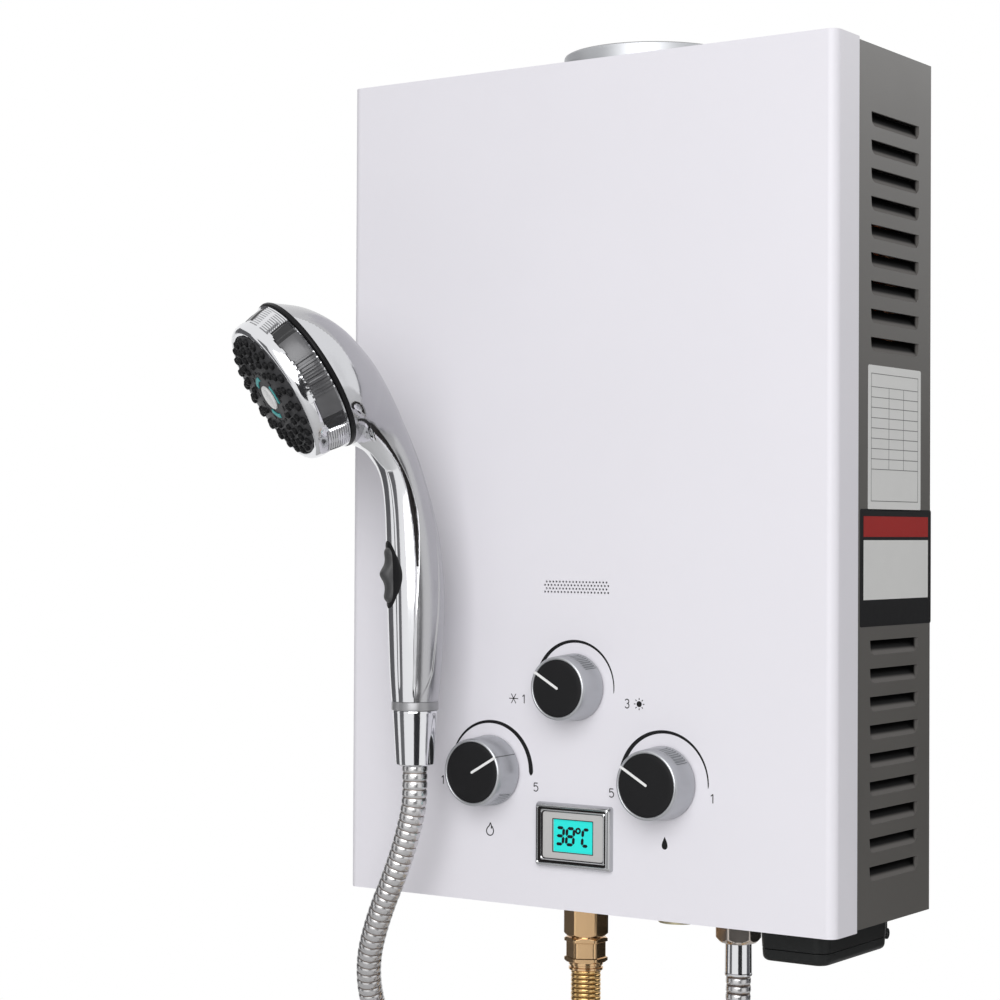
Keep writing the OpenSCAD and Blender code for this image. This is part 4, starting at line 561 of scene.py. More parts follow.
def knob(node, x, z, d, pointer, body):
    """A tapered knob: its outline turned about its axis, with two patches of fine grips a quarter
    turn to each side of the pointer, where the radius drops by 0.9 (0.45 + 0.55 |cos 34 a|). The deepest
    stripes of the grips are a darker silver, painted shade."""
    rb, rf = d / 2, d / 2 - 1.1
    rc = rf - 1.5
    w = [0, 0, 0.5, 1.2, 2.6, 4, 5.5, 7, 8.5, 10, 10.6, 13, 16.0, 16.7, 17, 17, 16.7, 15.8, 15.8]
    r = [0, rb - 0.5] + [rb - (rb - rf) * k / 17 for k in w[2:13]]
    r += [rf - 0.3, rf - 0.9, rc + 0.35, rc, rc, 0]
    g = [0, 0, 0, 0.5, 1, 1, 1, 1, 1, 1, 0.3] + [0] * 8
    n = 720
    a = np.arange(n) * tau / n
    away = np.abs((np.degrees(a) - pointer) % 180 - 90)
    grips = np.clip((24 - away) / 2, 0, 1)
    r, w, g = (np.array(q, float)[:, None] for q in (r, w, g))
    rr = r - 0.9 * g * grips * (0.45 + 0.55 * np.abs(np.cos(34 * a)))
    # Painted shade: the deepest stripes of the grips take the darker silver.
    grooved = (grips > 0.5) & (g > 0.4) & (np.cos(34 * a) ** 2 > 0.3)
    piece(node + "_shape", on_front(rr * np.cos(a), rr * np.sin(a), w + 0 * rr, x, z),
          grid_faces(len(w), n, ring=True), body, [silver, grip_shade_silver], 50, node, grooved[:-1].reshape(-1))
    disc = [(0, 15.8), (rc - 0.1, 15.8), (rc - 0.1, 16.35), (rc - 0.45, 16.6), (rc - 3, 16.66), (0, 16.68)]
    p, faces = lathe(disc, 160)
    piece(node + "_cap_shape", on_front(*p.T, x, z), faces, body, knob_face, 50, node + "_cap")
    t = math.radians(pointer)
    e, f = np.array([math.cos(t), math.sin(t)]), np.array([-math.sin(t), math.cos(t)])

    def bar_out(name, one, other, half, look):
        """A thin bar out along e, with f across it: its two faces are rows of (radius, height), and
        half is half its width at each row."""
        ends = [((a, -h), (a, h), (b, h), (b, -h)) for a, b, h in zip(one, other, half)]
        uv = np.array([[c[0] * e + h * f for c, h in q] for q in ends])
        w = np.array([[c[1] for c, _ in q] for q in ends])
        piece(node + name, on_front(uv[..., 0], uv[..., 1], w, x, z), bar_faces(len(half)), body, look, 50)

    # The pointer goes over the disc and the rim, and a fine line carries it on down the side
    along = [-0.5, 0, rc - 0.2, rc - 0.1, rc + 0.4, rf - 0.8, rf - 0.2]
    low = zip(along, (16.5, 16.5, 16.5, 16.5, 16.8, 16.8, 16.4))
    high = zip(along, (16.8, 16.8, 16.8, 17.1, 17.12, 17.12, 16.9))
    bar_out("_pointer", low, high, [0.3] + [0.65] * 5 + [0.6], pointer_white)
    front = np.array([[rf - 0.4, 16.9], [rf + 0.06, 16.2], [rb + 0.03, 1.0], [rb - 0.6, 0.8]])
    back = front - [[0.3, 0.3], [0.6, 0], [0.6, 0], [0.2, 0]]
    bar_out("_side_line", front, back, [0.28] * 4, groove_grey)


def arc_mark(name, x, z, radius, start, end, thick_start, thick_end):
    """A printed arc over a knob: radius is its middle line, its width changes evenly along it, and
    both ends are rounded."""
    n = 121
    k = np.arange(n)
    a = np.radians(np.linspace(start, end, n))[:, None]
    blunt = np.clip(np.minimum(k, n - 1 - k) / 2.5, 0.05, 1) ** 0.5
    half = np.linspace(thick_start, thick_end, n) / 2 * blunt
    rad = radius + half[:, None] * [-1, 1, 1, -1]
    h = np.tile([0.0, 0.0, print_t, print_t], (n, 1))
    piece(name, on_front(rad * np.cos(a), rad * np.sin(a), h, x, z, face_y), bar_faces(n), "heater", ink, 30)


def flat_mark(name, outlines, x, z, looks, base=face_y, t=print_t, slant=0.0, side=False):
    """Flat printed shapes: each outline is a closed list of (right, up) points, given the thickness t.
    They stand on the cover, or with `side` on the case's right side, where right runs back along Y.
    Of a list of finishes, each outline has its own."""
    parts = []
    for outline in outlines:
        u, v = np.asarray(outline, float).T
        u = u + slant * v
        n = len(u)
        lay = [(base + h + 0 * u, x + u, z + v) if side else (x + u, base - h + 0 * u, z + v) for h in (0, t)]
        faces = [list(range(n))[::-1], list(range(n, 2 * n))]
        faces += [[k, (k + 1) % n, n + (k + 1) % n, n + k] for k in range(n)]
        parts.append((np.concatenate([np.stack(q, 1) for q in lay]), faces))
    p, f, w = join(parts)
    piece(name, p, f, "heater", looks, 30, which=w if isinstance(looks, list) else None)


def stroke(points, width):
    """The outline of an even line: every point moved half the width to both sides, square to the line."""
    p = np.asarray(points, float)
    d = np.gradient(p, axis=0)
    d /= np.linalg.norm(d, axis=1)[:, None]
    s = np.stack([-d[:, 1], d[:, 0]], 1) * width / 2
    return np.vstack([p + s, (p - s)[::-1]])


def arc(cx, cz, r, a0, a1, n=14):
    """Points on an arc between two angles in degrees."""
    a = np.radians(np.linspace(a0, a1, n))
    return np.stack([cx + r * np.cos(a), cz + r * np.sin(a)], 1)


numerals = {
    "1": [[(-1.0, 1.2), (0.1, 2.15)], [(0.1, 2.2), (0.1, -2.2)]],
    "3": [arc(-0.1, 1.05, 1.1, 155, -90), arc(-0.1, -1.05, 1.2, 90, -155)],
    "5": [[(1.1, 2.0), (-0.95, 2.0)], [(-0.95, 2.1), (-1.1, 0.15)], arc(-0.05, -0.75, 1.38, 138, -145)]}
knob("season_knob", 0, -297, 34, 150, "season")
knob("gas_knob", -52, -342, 36.5, 30, "gas")
knob("water_knob", 52, -342, 36.5, 150, "water")
arc_mark("season_arc", -0.3, -297, 23.0, 178, -6, 2.3, 0.5)
arc_mark("gas_arc", -52, -342, 25.0, 183, -3, 0.6, 2.6)
arc_mark("water_arc", 52, -342, 25.0, 183, -3, 2.6, 0.6)
for label, text, px, pz in (("season_low", "1", -31.5, -304.5), ("season_high", "3", 30.5, -304),
                            ("gas_low", "1", -82.5, -349), ("gas_high", "5", -24.0, -349),
                            ("water_low", "5", 21.5, -349), ("water_high", "1", 79.5, -348)):
    flat_mark(label, [stroke(q, 0.5) for q in numerals[text]], px, pz, ink)


def drop_outline():
    """A drop: right = 2.3 sin k sin(k / 2)^1.4 and up = 0.6 + 3.2 cos k."""
    k = np.linspace(0, tau, 40, endpoint=False)
    return np.stack([2.3 * np.sin(k) * np.sin(k / 2) ** 1.4, 0.6 + 3.2 * np.cos(k)], 1)


def spokes(count, r0, r1, half):
    """Short bars round a point, from radius r0 to r1."""
    corners = ((r0, -half), (r1, -half), (r1, half), (r0, half))
    return [[(math.cos(q) * r + math.sin(q) * s, math.sin(q) * r - math.cos(q) * s) for r, s in corners]
            for q in np.arange(count) * tau / count]


flame = curve_points([
    (0.2, 3.6), (-0.5, 2.0), (-1.7, 0.7), (-2.2, -0.8), (-1.6, -2.3), (0, -3.0), (1.6, -2.3), (2.2, -0.7),
    (1.8, 0.9), (1.1, 1.7), (0.8, 0.6), (0.9, 1.9), (0.2, 3.6)], 5)
flat_mark("water_drop_mark", [drop_outline()], 52.5, -372.2, ink)
flat_mark("gas_flame_mark", [stroke(flame, 0.55)], -52.4, -372.8, ink)
flat_mark("summer_sun_mark", [arc(0, 0, 1.5, 0, 345, 24)] + spokes(8, 2.1, 3.0, 0.22), 37.5, -304, ink)
flat_mark("winter_flake_mark", spokes(6, 0.0, 2.8, 0.2), -38.0, -304.5, ink)


# ---- blank plates on the right side
def frame_loop(w, h, r, n=12):
    """Points round a rectangle w by h with corners of radius r, a quarter turn of n points each."""
    out = []
    for q, (sx, sz) in enumerate(((1, 1), (-1, 1), (-1, -1), (1, -1))):
        a = np.linspace(q * 90, q * 90 + 90, n) * math.pi / 180
        out.append(np.stack([sx * (w / 2 - r) + r * np.cos(a), sz * (h / 2 - r) + r * np.sin(a)], 1))
    return np.vstack(out)


def bar(x0, z0, x1, z1):
    """A rectangle between two corners."""
    return [(x0, z0), (x1, z0), (x1, z1), (x0, z1)]


plate_t, rule_t, rule_w = 0.1, 0.05, 0.35
upper_plate, lower_plate = (-45.75, -172.25), (-43.65, -235.5)
rules = [bar(-26.5, q, 26.5, q + rule_w) for q in (31, *np.arange(24.5, -16, -5), -31)]
rules += [bar(q, -31, q + rule_w, 31 + rule_w) for q in (-26.5, 26.15)]
rules += [bar(q, -15.5, q + rule_w, 24.5) for q in (-7, 9.5)]
flat_mark("data_plate", [frame_loop(59.5, 70.5, 1.2, 6)], *upper_plate, paper, case_half, plate_t, side=True)
flat_mark("data_plate_rules", rules, *upper_plate, rule_grey, case_half + 0.09, rule_t, side=True)
flat_mark("dark_plate", [frame_loop(80.3, 57, 1.2, 6)], *lower_plate, ink, case_half, plate_t, side=True)
flat_mark("dark_plate_panels", [bar(-36.5, 15, 36.5, 25), bar(-36.5, -15.5, 36.5, 13.4)], *lower_plate,
          [red, paper], case_half + 0.09, rule_t, side=True)

# ---- display
display_z = -372.3
screen_w, screen_h = 23.7, 16.3
screen_y, readout_y = face_y - 1.42, face_y - 1.5
digit_h, digit_bar = 8.2, 1.6


def swept_frame(name, steps, w, h, looks, smooth, replaces=(), dark=()):
    """A frame swept round a rectangle: each step is (inset, height, corner radius). The stretches in
    `dark`, by number, have the second finish."""
    rows = []
    for inset, height, rad in steps:
        u, v = frame_loop(w - 2 * inset, h - 2 * inset, rad).T
        rows.append(on_front(u, v, height + 0 * u, 0, display_z, face_y))
    which = np.repeat([k in dark for k in range(len(steps))], len(rows[0]))
    piece(name, *closed(rows), "heater", looks, smooth, replaces, which)


# Stretches 6, 7, 8 and 12 of the bezel, in its hollows, are near black: painted shade and dark reflection.
swept_frame("display_bezel_shape", [
    (0, 0.02, 1.4), (0, 1.2, 1.4), (0.3, 2.2, 1.3), (1.0, 3.5, 1.2), (1.5, 3.92, 1.1), (1.9, 4.0, 1.0),
    (2.3, 3.7, 1.0), (2.5, 3.1, 1.0), (2.6, 2.75, 1.0), (3.2, 2.7, 1.0), (3.4, 3.0, 1.1), (3.8, 3.15, 1.2),
    (4.2, 2.9, 1.4), (4.5, 2.3, 1.5), (4.5, -2.9, 1.5), (3.0, -2.9, 0.4), (3.0, -0.3, 0.4), (3.0, 0.02, 1.4)],
    45.2, 32.6, [bezel_chrome, painted_shade_dark], 35, "display_bezel", dark=(6, 7, 8, 12))


def flat_frame(name, outer, inner, low, high, look, replaces=()):
    """A flat frame between two rounded rectangles, each (width, height, corner radius)."""
    rows = [on_front(*frame_loop(*size).T, h, 0, display_z, face_y)
            for size, h in ((outer, low), (outer, high), (inner, high), (inner, low))]
    piece(name, *closed(rows), "heater", look, 30, replaces)


opening = (screen_w, screen_h, 0.3)
flat_frame("display_mask", (36.0, 23.4, 1.4), opening, 1.4, 2.3, mask_grey, "display_window")
flat_frame("screen_edge", (screen_w + 0.8, screen_h + 0.8, 0.3), opening, 2.28, 2.36, ink)
flat_mark("screen_light", [frame_loop(screen_w + 0.2, screen_h + 0.2, 0.2, 3)], 0, display_z, cyan,
          screen_y, 0.06)


def segment(x0, z0, x1, z1):
    """A lit bar of a numeral: a long hexagon from one end to the other."""
    d = np.array([x1 - x0, z1 - z0])
    d = d / np.linalg.norm(d)
    across = np.array([-d[1], d[0]])
    half = digit_bar / 2
    a, b = np.array([x0, z0]) + d * 0.18, np.array([x1, z1]) - d * 0.18
    return [a, a + (d + across) * half, b + (across - d) * half, b, b - (across + d) * half,
            a + (d - across) * half]


def digit(bars, x, w=4.2):
    """The bars of a seven-bar numeral, named A to G from its top round and through its middle."""
    h, far = digit_h / 2, x + w
    ends = {"A": (x, h, far, h), "B": (far, h, far, 0), "C": (far, 0, far, -h), "D": (x, -h, far, -h),
            "E": (x, 0, x, -h), "F": (x, h, x, 0), "G": (x, 0, far, 0)}
    return [segment(*ends[q]) for q in bars]


def small_ring(x, z, r0, r1, n=24):
    """A ring of n short flat pieces, for the degree sign."""
    step = tau / n
    return [[(x + r * math.cos(a + turned_by), z + r * math.sin(a + turned_by))
             for r, turned_by in ((r1, 0), (r1, step), (r0, step), (r0, 0))] for a in np.arange(n) * step]


readout = digit("ABCDG", -9.4) + digit("ABCDEFG", -3.2) + digit("AFED", 6.3, 3.6)
flat_mark("readout_bars", readout, -0.9, display_z - 0.2, ink, readout_y, 0.06, slant=0.08)
flat_mark("readout_degree", small_ring(3.4, 3.0, 0.7, 1.7), -0.9, display_z, ink, readout_y, 0.06, slant=0.08)

# ---- hand shower
turn, tip = math.radians(-123.5), math.radians(122)
lean = tip - math.pi / 2
head_r, head_x, head_z = 41.0, 58.0, 170.0
to_row = np.array([[math.cos(turn), -math.sin(turn), 0], [math.sin(turn), math.cos(turn), 0], [0, 0, 1]])
tip_over = np.array([[math.cos(tip), 0, math.sin(tip)], [0, 1, 0], [-math.sin(tip), 0, math.cos(tip)]])
hand_at = np.array([-75.0, -147.0, -310.0])
head_turn = to_row @ tip_over
head_at = hand_at + to_row @ np.array([head_x, 0, head_z])
# back point, front point and half width of each section, from the collar to the seal
sections = np.array([
    (-11.9, 4.6, 12.1, 4.6, 12), (-13.9, 20, 13.2, 20, 13.4), (-15.2, 48, 14.4, 50, 14.6),
    (-14.7, 67, 14.9, 70, 14.6), (-12.3, 87, 15.6, 91, 14), (-9.4, 100, 16.3, 104, 13.4),
    (-5.6, 113, 17.7, 115, 13), (-0.8, 127, 20.5, 123, 13.2), (5.8, 142, 26, 130.5, 15),
    (13.3, 157, 30.4, 133.4, 19), (22.6, 171.5, 33, 134.4, 25), (31.9, 182.6, 34.6, 134.8, 31),
    (46, 195.2, 35.5, 135, 36.5), (62, 202.8, 36, 135.1, 40),
    (head_x + head_r * math.sin(lean), head_z + head_r * math.cos(lean),
     head_x - head_r * math.sin(lean), head_z - head_r * math.cos(lean), head_r)], float)
# along those sections: where the dark groove runs round from the front, its half width, and
# where the pressed leaf behind it ends, all in degrees
groove_at = [67, 68, 70, 74, 78, 79, 77, 71, 65, 60, 56, 52, 49, 46, 45]
groove_half = [1.3, 1.3, 1.6, 2.8, 7, 9.5, 7, 4.5, 6.5, 8, 7, 4.5, 3.0, 2.2, 1.6]
leaf_end = [82, 112, 124, 129, 136, 142, 150, 158, 166, 175, 180, 185, 190, 195, 200]


def at_hand(p):
    """Points beside the grip to the row frame."""
    return np.asarray(p).reshape(-1, 3) @ to_row.T + hand_at


def at_head(p):
    """Points about the head's axis to the row frame."""
    return np.asarray(p).reshape(-1, 3) @ head_turn.T + head_at


def handle_shell():
    """The handle and head: ellipses between a back line and a front line, joined along smooth
    curves. A low spine runs down the front, a groove as deep as it is wide parts the front from the
    back, and behind it a long leaf is pressed in 0.5 mm. Over the seal a crescent is raised: its
    height is the softer of (distance to the seal / w) and exp(-(distance - w) / 14), w being the
    crescent's width. Two dimples lie where the crescent and the groove end. The groove's middle is
    coloured near black, painted shade and dark reflection; each dimple has a bright chrome floor,
    painted highlight, and a near black crescent on one side of its rim, painted shadow."""
    fine = curve_points(sections, 14)
    n = 300
    a = np.arange(n) * tau / n
    b, f, w = fine[:, :2], fine[:, 2:4], fine[:, 4]
    mid, half = (b + f) / 2, np.linalg.norm(f - b, axis=1) / 2
    e = (f - b) / (2 * half)[:, None]
    k = np.linspace(0, 14, len(fine))[:, None]
    front = np.abs(np.degrees(np.arctan2(np.sin(a), np.cos(a))))[None, :]

    def shape(dip):
        """The points of all sections, with each pushed in by dip."""
        u = mid[:, None] + ((half[:, None] - dip) * np.cos(a))[..., None] * e[:, None]
        return np.stack([u[..., 0], (w[:, None] - dip) * np.sin(a), u[..., 1]], -1)

    plain = shape(np.zeros((len(fine), n)))
    step = np.linalg.norm(np.diff(plain, axis=0), axis=2)
    to_seal = np.r_[np.cumsum(step[::-1], axis=0)[::-1], np.zeros((1, n))]
    along = np.arange(15)
    at, wide, end = (np.interp(k, along, q) for q in (groove_at, groove_half, leaf_end))
    ends = smoothstep(k, 0.1, 0.9) * (1 - smoothstep(k, 13.6, 13.95))
    dip = 0.28 * smoothstep(front, 28.5, 33.5) * ends * (1 - smoothstep(k, 6, 9))
    dip = dip + (0.35 + 0.11 * wide) * ends * (1 - smoothstep(np.abs(front - at), 0.35 * wide, wide + 0.8))
    leaf = smoothstep(front, at, at + 4) * (1 - smoothstep(front, end - 4, end))
    dip = dip + 0.5 * leaf * ends * (1 - smoothstep(k, 7, 11))
    rise = np.sin(np.clip((front - 56) / 82, 0, 1) * math.pi) ** 0.6
    width = 15 * rise + 0.01
    p, q = np.clip(to_seal / width, 0, 3), np.exp(-np.clip(to_seal - width, -20, 200) / 14)
    crest = -np.log(np.exp(-7 * p) + np.exp(-7 * q)) / 7
    dip = dip - 1.7 * rise * np.clip(crest, 0, 1)
    nooks = []
    for deg, dist, du, dt, deep in ((58, 5, 3.4, 3.6, 1.9), (49, 22, 2.6, 4.6, 1.6)):
        d = np.sqrt(((front - deg) * 0.7 / du) ** 2 + ((to_seal - dist) / dt) ** 2)
        dip = dip + deep * np.exp(-d ** 3)
        nooks.append((d, deg))
    # Painted shade and dark reflection: the middle of the groove is coloured near black.
    groove_shade_band = (np.abs(front - at) < 0.7 * wide) & (wide > 2.0) & (k > 3.2) & (k < 13.6)
    soft = (front > at + 1.5) | (k > 11.5)
    moon = (to_seal < 0.92 * width) & (rise > 0.05)
    which = np.where(moon, 3, np.where(soft, 2, 0))
    # Painted highlight and shadow: each dimple's floor is bright chrome and one side of its rim near black.
    for d, deg in nooks:
        which = np.where(d < 0.75, 0, np.where((d < 1.25) & (front > deg - 2), 1, which))
    which = np.where(groove_shade_band, 1, which)[:-1].reshape(-1).tolist() + [0, 0]
    piece("hand_shower_shell", at_hand(shape(dip)), bar_faces(len(fine), n), "heater",
          [chrome, painted_shade_dark, satin_chrome, pale_chrome], 62, "handset_shell", which)


def on_head(name, profile, look, body="heater", n=180, replaces=()):
    """A piece turned about the head's axis."""
    piece(name, *lathe(profile, n, head_at, head_turn), body, look, 40, replaces)


def selector_ring():
    """The ring that picks the spray: its outline turned about the head's axis. Three smoked windows
    of 94 degrees have eight grip ridges each, their ends are darker and lower, the front lip meets
    them in a wavy edge, and the chrome between them has fine turned lines, their grooves a darker
    grey that is painted shade."""
    n = 720
    a = np.arange(n) * tau / n
    w = np.r_[2.9, 2.9, 3.2, np.linspace(3.8, 14.6, 19), 15.4, 16.2, 17.4, 19.0, 20.2, 20.9, 21.3, 21.0,
              19.1, 19.1]
    r = np.interp(w, [3.2, 4.2, 6.2, 8.2, 10.2, 12.2, 14.2, 16.2, 17.4, 19, 20.2, 20.9, 21.3],
                  [40.7, 40.8, 40.7, 40.35, 39.9, 39.4, 38.95, 38.6, 38.45, 38.1, 37.5, 36.9, 35.7])
    r[[0, 1, -3, -2, -1]] = 32.0, 40.2, 34.1, 34.0, 32.0
    inside = np.arange(len(w)) >= len(w) - 3
    side_of = (np.degrees(a) - 33) % 120 - 60
    off = np.abs(side_of)
    win = np.clip((47 - off) / 1.2, 0, 1)
    teeth = np.clip((17.5 - off) / 1.5, 0, 1)
    ridge = teeth * np.clip(np.cos(np.radians(side_of) * 360 / 4.6) * 2, 0, 1)
    lip = 15.6 - 1.6 * smoothstep(off, 34, 44) - 1.3 * teeth * (1 - ridge)
    lip = lip - 0.9 * np.exp(-((side_of - 27) / 6) ** 2)
    low = (1 - smoothstep(w[:, None], lip - 0.5, lip)) * (w > 3.5)[:, None] * ~inside[:, None]
    deep = 1.1 + 0.6 * smoothstep(off, 36, 39)
    ruled = (np.arange(len(w)) % 2 * ((w > 3.5) & (w < 14.9) & ~inside))[:, None]
    lines = 0.26 * ruled * (1 - win)
    rr = r[:, None] - deep * win * low - lines + 1.0 * ridge * win * low
    pts = at_head(np.stack([rr * np.cos(a), rr * np.sin(a), w[:, None] + 0 * rr], -1))
    pane = np.where(off > 34, 2, 1)
    # Painted shade: the grooves of the turned lines take a darker grey.
    which = np.where((low > 0.5) & (win > 0.5), pane, np.where((lines > 0.13) & (off < 58), 3, 0))
    piece("spray_selector_shape", pts, grid_faces(len(w), n, ring=True, loop=True), "selector",
          [chrome, smoked, smoked_dark, turned_line_shade], 40, "spray_selector", which.reshape(-1))


# The spray plate's dome, as (radius, height) from its edge in
dome = [(33.2, 21.0), (30, 22.15), (24, 22.9), (17, 23.35), (11, 23.55)]
handle_shell()
on_head("head_seal_ring", [(35.5, 0.0), (40.6, 0.0), (41.3, 0.4), (41.5, 1.2), (41.3, 2.0), (40.6, 2.5),
                           (35.5, 2.5)], seal_black, replaces="handset_seal")
selector_ring()
plate = [(0, 19.1), (33.9, 19.1), (33.9, 20.4)] + dome + [(9.3, 23.4), (8.2, 23.35), (0, 23.35)]
on_head("spray_plate", plate, charcoal, "selector", 120, "spray_face")
on_head("spray_button", [(0, 23.2), (6.6, 23.2), (6.6, 23.9), (6.1, 24.3), (5.2, 24.45), (0, 24.55)],
        button_white, "selector", 72)


def nozzles():
    """Rubber nozzles in rings on the plate: each is a short stub with a round end and a dimple.
    A ring has its radius, its count, its shift in steps and the size of its nozzles."""
    stub = np.array([(1.8, -0.4), (1.8, 0.8), (1.6, 1.4), (1.0, 1.7), (0.45, 1.6), (0.0, 1.2)])
    rings = ((31.0, 24, 0, 1.2), (26.4, 21, 0.5, 1.12), (21.8, 15, 0, 1.1), (17.6, 9, 0.3, 0.9))
    a = np.arange(12) * tau / 12
    faces = grid_faces(len(stub), 12, ring=True) + [list(range(12))[::-1]]
    parts = []
    for radius, count, shift, scale in rings:
        z = np.interp(radius, *zip(*dome[::-1])) + stub[:, 1:] + 0 * a
        r = stub[:, :1] * scale
        for q in (np.arange(count) + shift) * tau / count:
            x, y = radius * math.cos(q) + r * np.cos(a), radius * math.sin(q) + r * np.sin(a)
            parts.append((at_head(np.stack([x, y, z], -1)), faces))
    piece("spray_nozzles", *join(parts)[:2], "selector", rubber, 50)


def head_arcs(name, r0, r1, middles, half, low, high, look):
    """Flat arcs on the spray plate, between two radii and two heights, each 2 half degrees long."""
    rad, h = np.array([r0, r1, r1, r0]), np.array([low, low, high, high])
    parts = []
    for mid in middles:
        a = np.radians(np.linspace(mid - half, mid + half, 25))[:, None]
        parts.append((at_head(np.stack([rad * np.cos(a), rad * np.sin(a), h + 0 * a], -1)), bar_faces(25)))
    piece(name, *join(parts)[:2], "selector", look, 40)


nozzles()
head_arcs("spray_marks", 9.4, 11.6, (-22, 95, 205), 26, 23.3, 23.8, teal)
head_arcs("spray_slots", 13.2, 14.6, np.arange(18) * 20, 5, 23.2, 23.7, rubber)


thumb_z = 69.0


def on_grip(z, a, off):
    """A place on the grip: z up from the collar, a round from the front in radians, off out of it."""
    b0, f0, w0 = (np.interp(z, sections[:6, i], sections[:6, j]) for i, j in ((1, 0), (3, 2), (1, 4)))
    x = (b0 + f0) / 2 + ((f0 - b0) / 2 + off) * np.cos(a)
    return np.stack([x, (w0 + off) * np.sin(a), z + 0 * a], -1)


def thumb_bed():
    """The oval bed that the thumb switch slides on: a patch of the grip's surface, 0.2 mm proud."""
    t = np.arange(96) * tau / 96
    width = math.radians(43) * np.cos(t) * (1 - 0.12 * np.sin(2 * t) ** 2)
    rows, faces = closed([on_grip(thumb_z + 17.2 * q * np.sin(t), q * width, h + 0 * t) for q, h in (
        (0.02, -0.9), (0.5, -0.9), (1, -0.9), (1, 0.0), (0.97, 0.22), (0.8, 0.2), (0.5, 0.2), (0.02, 0.2))])
    piece("thumb_bed", at_hand(rows), faces, "heater", rubber, 50)


def thumb_boot():
    """The wavy rubber switch: along the grip its height is a broad hump with a soft wave at both
    ends, and to both sides it falls off as a rounded bar does."""
    z = np.linspace(-15, 15, 91)
    q = np.linspace(-1, 1, 25)
    floor, base = 12.92, 12.95
    humps = ((3.0, 0.3, 3.9), (0.9, 12, 2.8), (0.9, -12, 2.8))
    wave = 15.9 + sum(h * np.exp(-((z - c) / w) ** 2) for h, c, w in humps)
    end = np.sqrt(np.clip(1 - (z / 15.01) ** 8, 0, 1))
    half = 5.5 * np.clip(1 - (np.abs(z) / 15.02) ** 6, 0.02, 1) ** 0.5
    h = base + ((wave - base) * end)[:, None] * (1 - np.abs(q) ** 3) ** 0.5
    top = np.stack([h, half[:, None] * q, thumb_z + z[:, None] + 0 * h], -1)
    low = top.copy()
    low[..., 0] = floor
    m, n = len(z), len(q)
    rim = [i * n for i in range(m)] + [(m - 1) * n + j for j in range(1, n)]
    rim += [i * n + n - 1 for i in range(m - 2, -1, -1)] + list(range(n - 2, 0, -1))
    faces = grid_faces(m, n)
    faces += [[k + m * n for k in g[::-1]] for g in faces]
    faces += [[i, j, j + m * n, i + m * n] for i, j in zip(rim, rim[1:] + rim[:1])]
    piece("thumb_switch_boot", at_hand(np.stack([top, low])), faces, "thumb", boot_grey, 50, "thumb_switch")


thumb_bed()
thumb_boot()
cone = [(4.05, -28), (9.0, -28), (9.7, -27.4), (9.85, -26), (11.3, -3.2), (11.35, -1.6), (11.5, -0.9),
        (11.3, -0.2), (10.8, 0), (4.05, 0)]
hose_nut = piece("hose_nut_cone", *lathe(cone, 96, hand_at), "heater", chrome, 30, "shower_hose_nut")
collar = [(4.05, 0), (11.7, 0), (12.0, 0.35), (12.0, 3.9), (11.8, 4.3), (11.3, 4.6), (4.05, 4.6)]
piece("grey_collar", *lathe(collar, 96, hand_at), "heater", grey_ring, 30, "handset_collar")

hose("gas_line_hose", gas_line, 8.0, 0.55, 2.4, 9, [gold_hose, gold_groove_shade], ["gas_hose", "gas_hose_coil"])
hose("shower_line_hose", shower_line, 6.5, 0.6, 4.2, 10, [chrome_hose, hose_groove_shade],
     ["shower_hose_lower", "shower_hose_coil", "shower_hose_upper"])


# ---- floor, reflectors and light
def stage_sheet(name, corners, colour, seen=True):
    """A flat sheet of the studio. One that isn't seen only shows as a reflection in bright metal."""
    me = bpy.data.meshes.new(name)
    me.from_pydata([tuple(c) for c in corners], [], [tuple(range(len(corners)))])
    me.materials.append(finish(name, colour, 0.9, 0, 0.01, 4, spec=0.1))
    ob = in_scene(name, me)
    if not seen:
        ob.visible_camera = ob.visible_diffuse = ob.visible_shadow = False


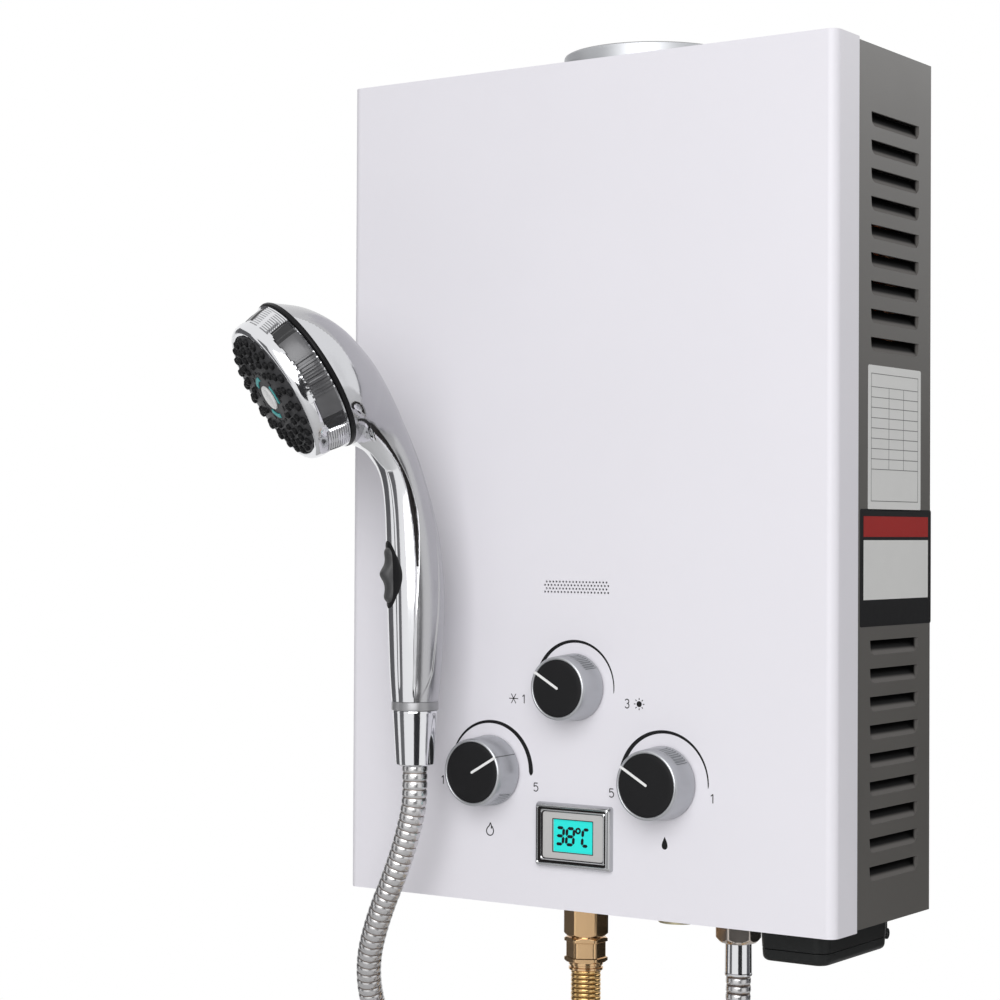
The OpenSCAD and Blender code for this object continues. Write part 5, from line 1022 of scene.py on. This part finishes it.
floor_r, floor_y, floor_z = 0.9, -0.1, -0.701
stage_sheet("floor", [(floor_r * math.cos(q), floor_y + floor_r * math.sin(q), floor_z)
                      for q in np.arange(64) * tau / 64], (0.86, 0.86, 0.86))

# Upright sheets round the object: each stands between two bearings in degrees and two heights
far = 2.6
for side, start, end, foot, top, colour in (
        ("right", -62, -30, -1.6, 1.4, (0.06, 0.06, 0.065)), ("side", 50, 84, -1.8, 0.02, (0.03, 0.03, 0.03)),
        ("left", -138, -114, -1.6, 1.2, (0.30, 0.30, 0.31)),
        ("far_right", 12, 48, -1.6, 0.9, (0.22, 0.22, 0.24)),
        ("far_left", 165, 205, -1.6, 0.9, (0.22, 0.22, 0.23))):
    p, q = ((far * math.cos(math.radians(a)), far * math.sin(math.radians(a))) for a in (start, end))
    stage_sheet("reflector_" + side, [(*p, foot), (*q, foot), (*q, top), (*p, top)], colour, False)


def lamp(name, at, aim, size, power):
    """A soft white panel light that looks at a place."""
    d = bpy.data.lights.new(name, "AREA")
    d.shape = "RECTANGLE"
    d.size, d.size_y = size
    d.energy = power
    ob = in_scene(name, d)
    ob.location = at
    ob.rotation_euler = (Vector(aim) - Vector(at)).to_track_quat("-Z", "Y").to_euler()
    ob.visible_camera = False


def studio_world():
    """White to the camera and in mirrors and glass, and softer as light on the object."""
    world = bpy.data.worlds.new("studio")
    bpy.context.scene.world = world
    world.use_nodes = True
    t = world.node_tree
    t.nodes["Background"].inputs["Color"].default_value = (1, 1, 1, 1)
    rays = add(t, "LightPath").outputs
    seen = rays["Is Camera Ray"]
    for kind in ("Is Glossy Ray", "Is Transmission Ray"):
        seen = add(t, "Math", (), {0: seen, 1: rays[kind]}, operation="MAXIMUM").outputs[0]
    level = add(t, "MapRange", {"To Min": 0.40, "To Max": 1.0}, {"Value": seen}).outputs["Result"]
    t.links.new(level, t.nodes["Background"].inputs["Strength"])


lamp("key", (0.72, -1.75, 0.4), (0, 0, -0.2), (1.6, 1.6), 27)
lamp("side", (0.72, 0.95, 0.5), (0.14, -0.06, 0.0), (0.6, 0.5), 2.4)
studio_world()
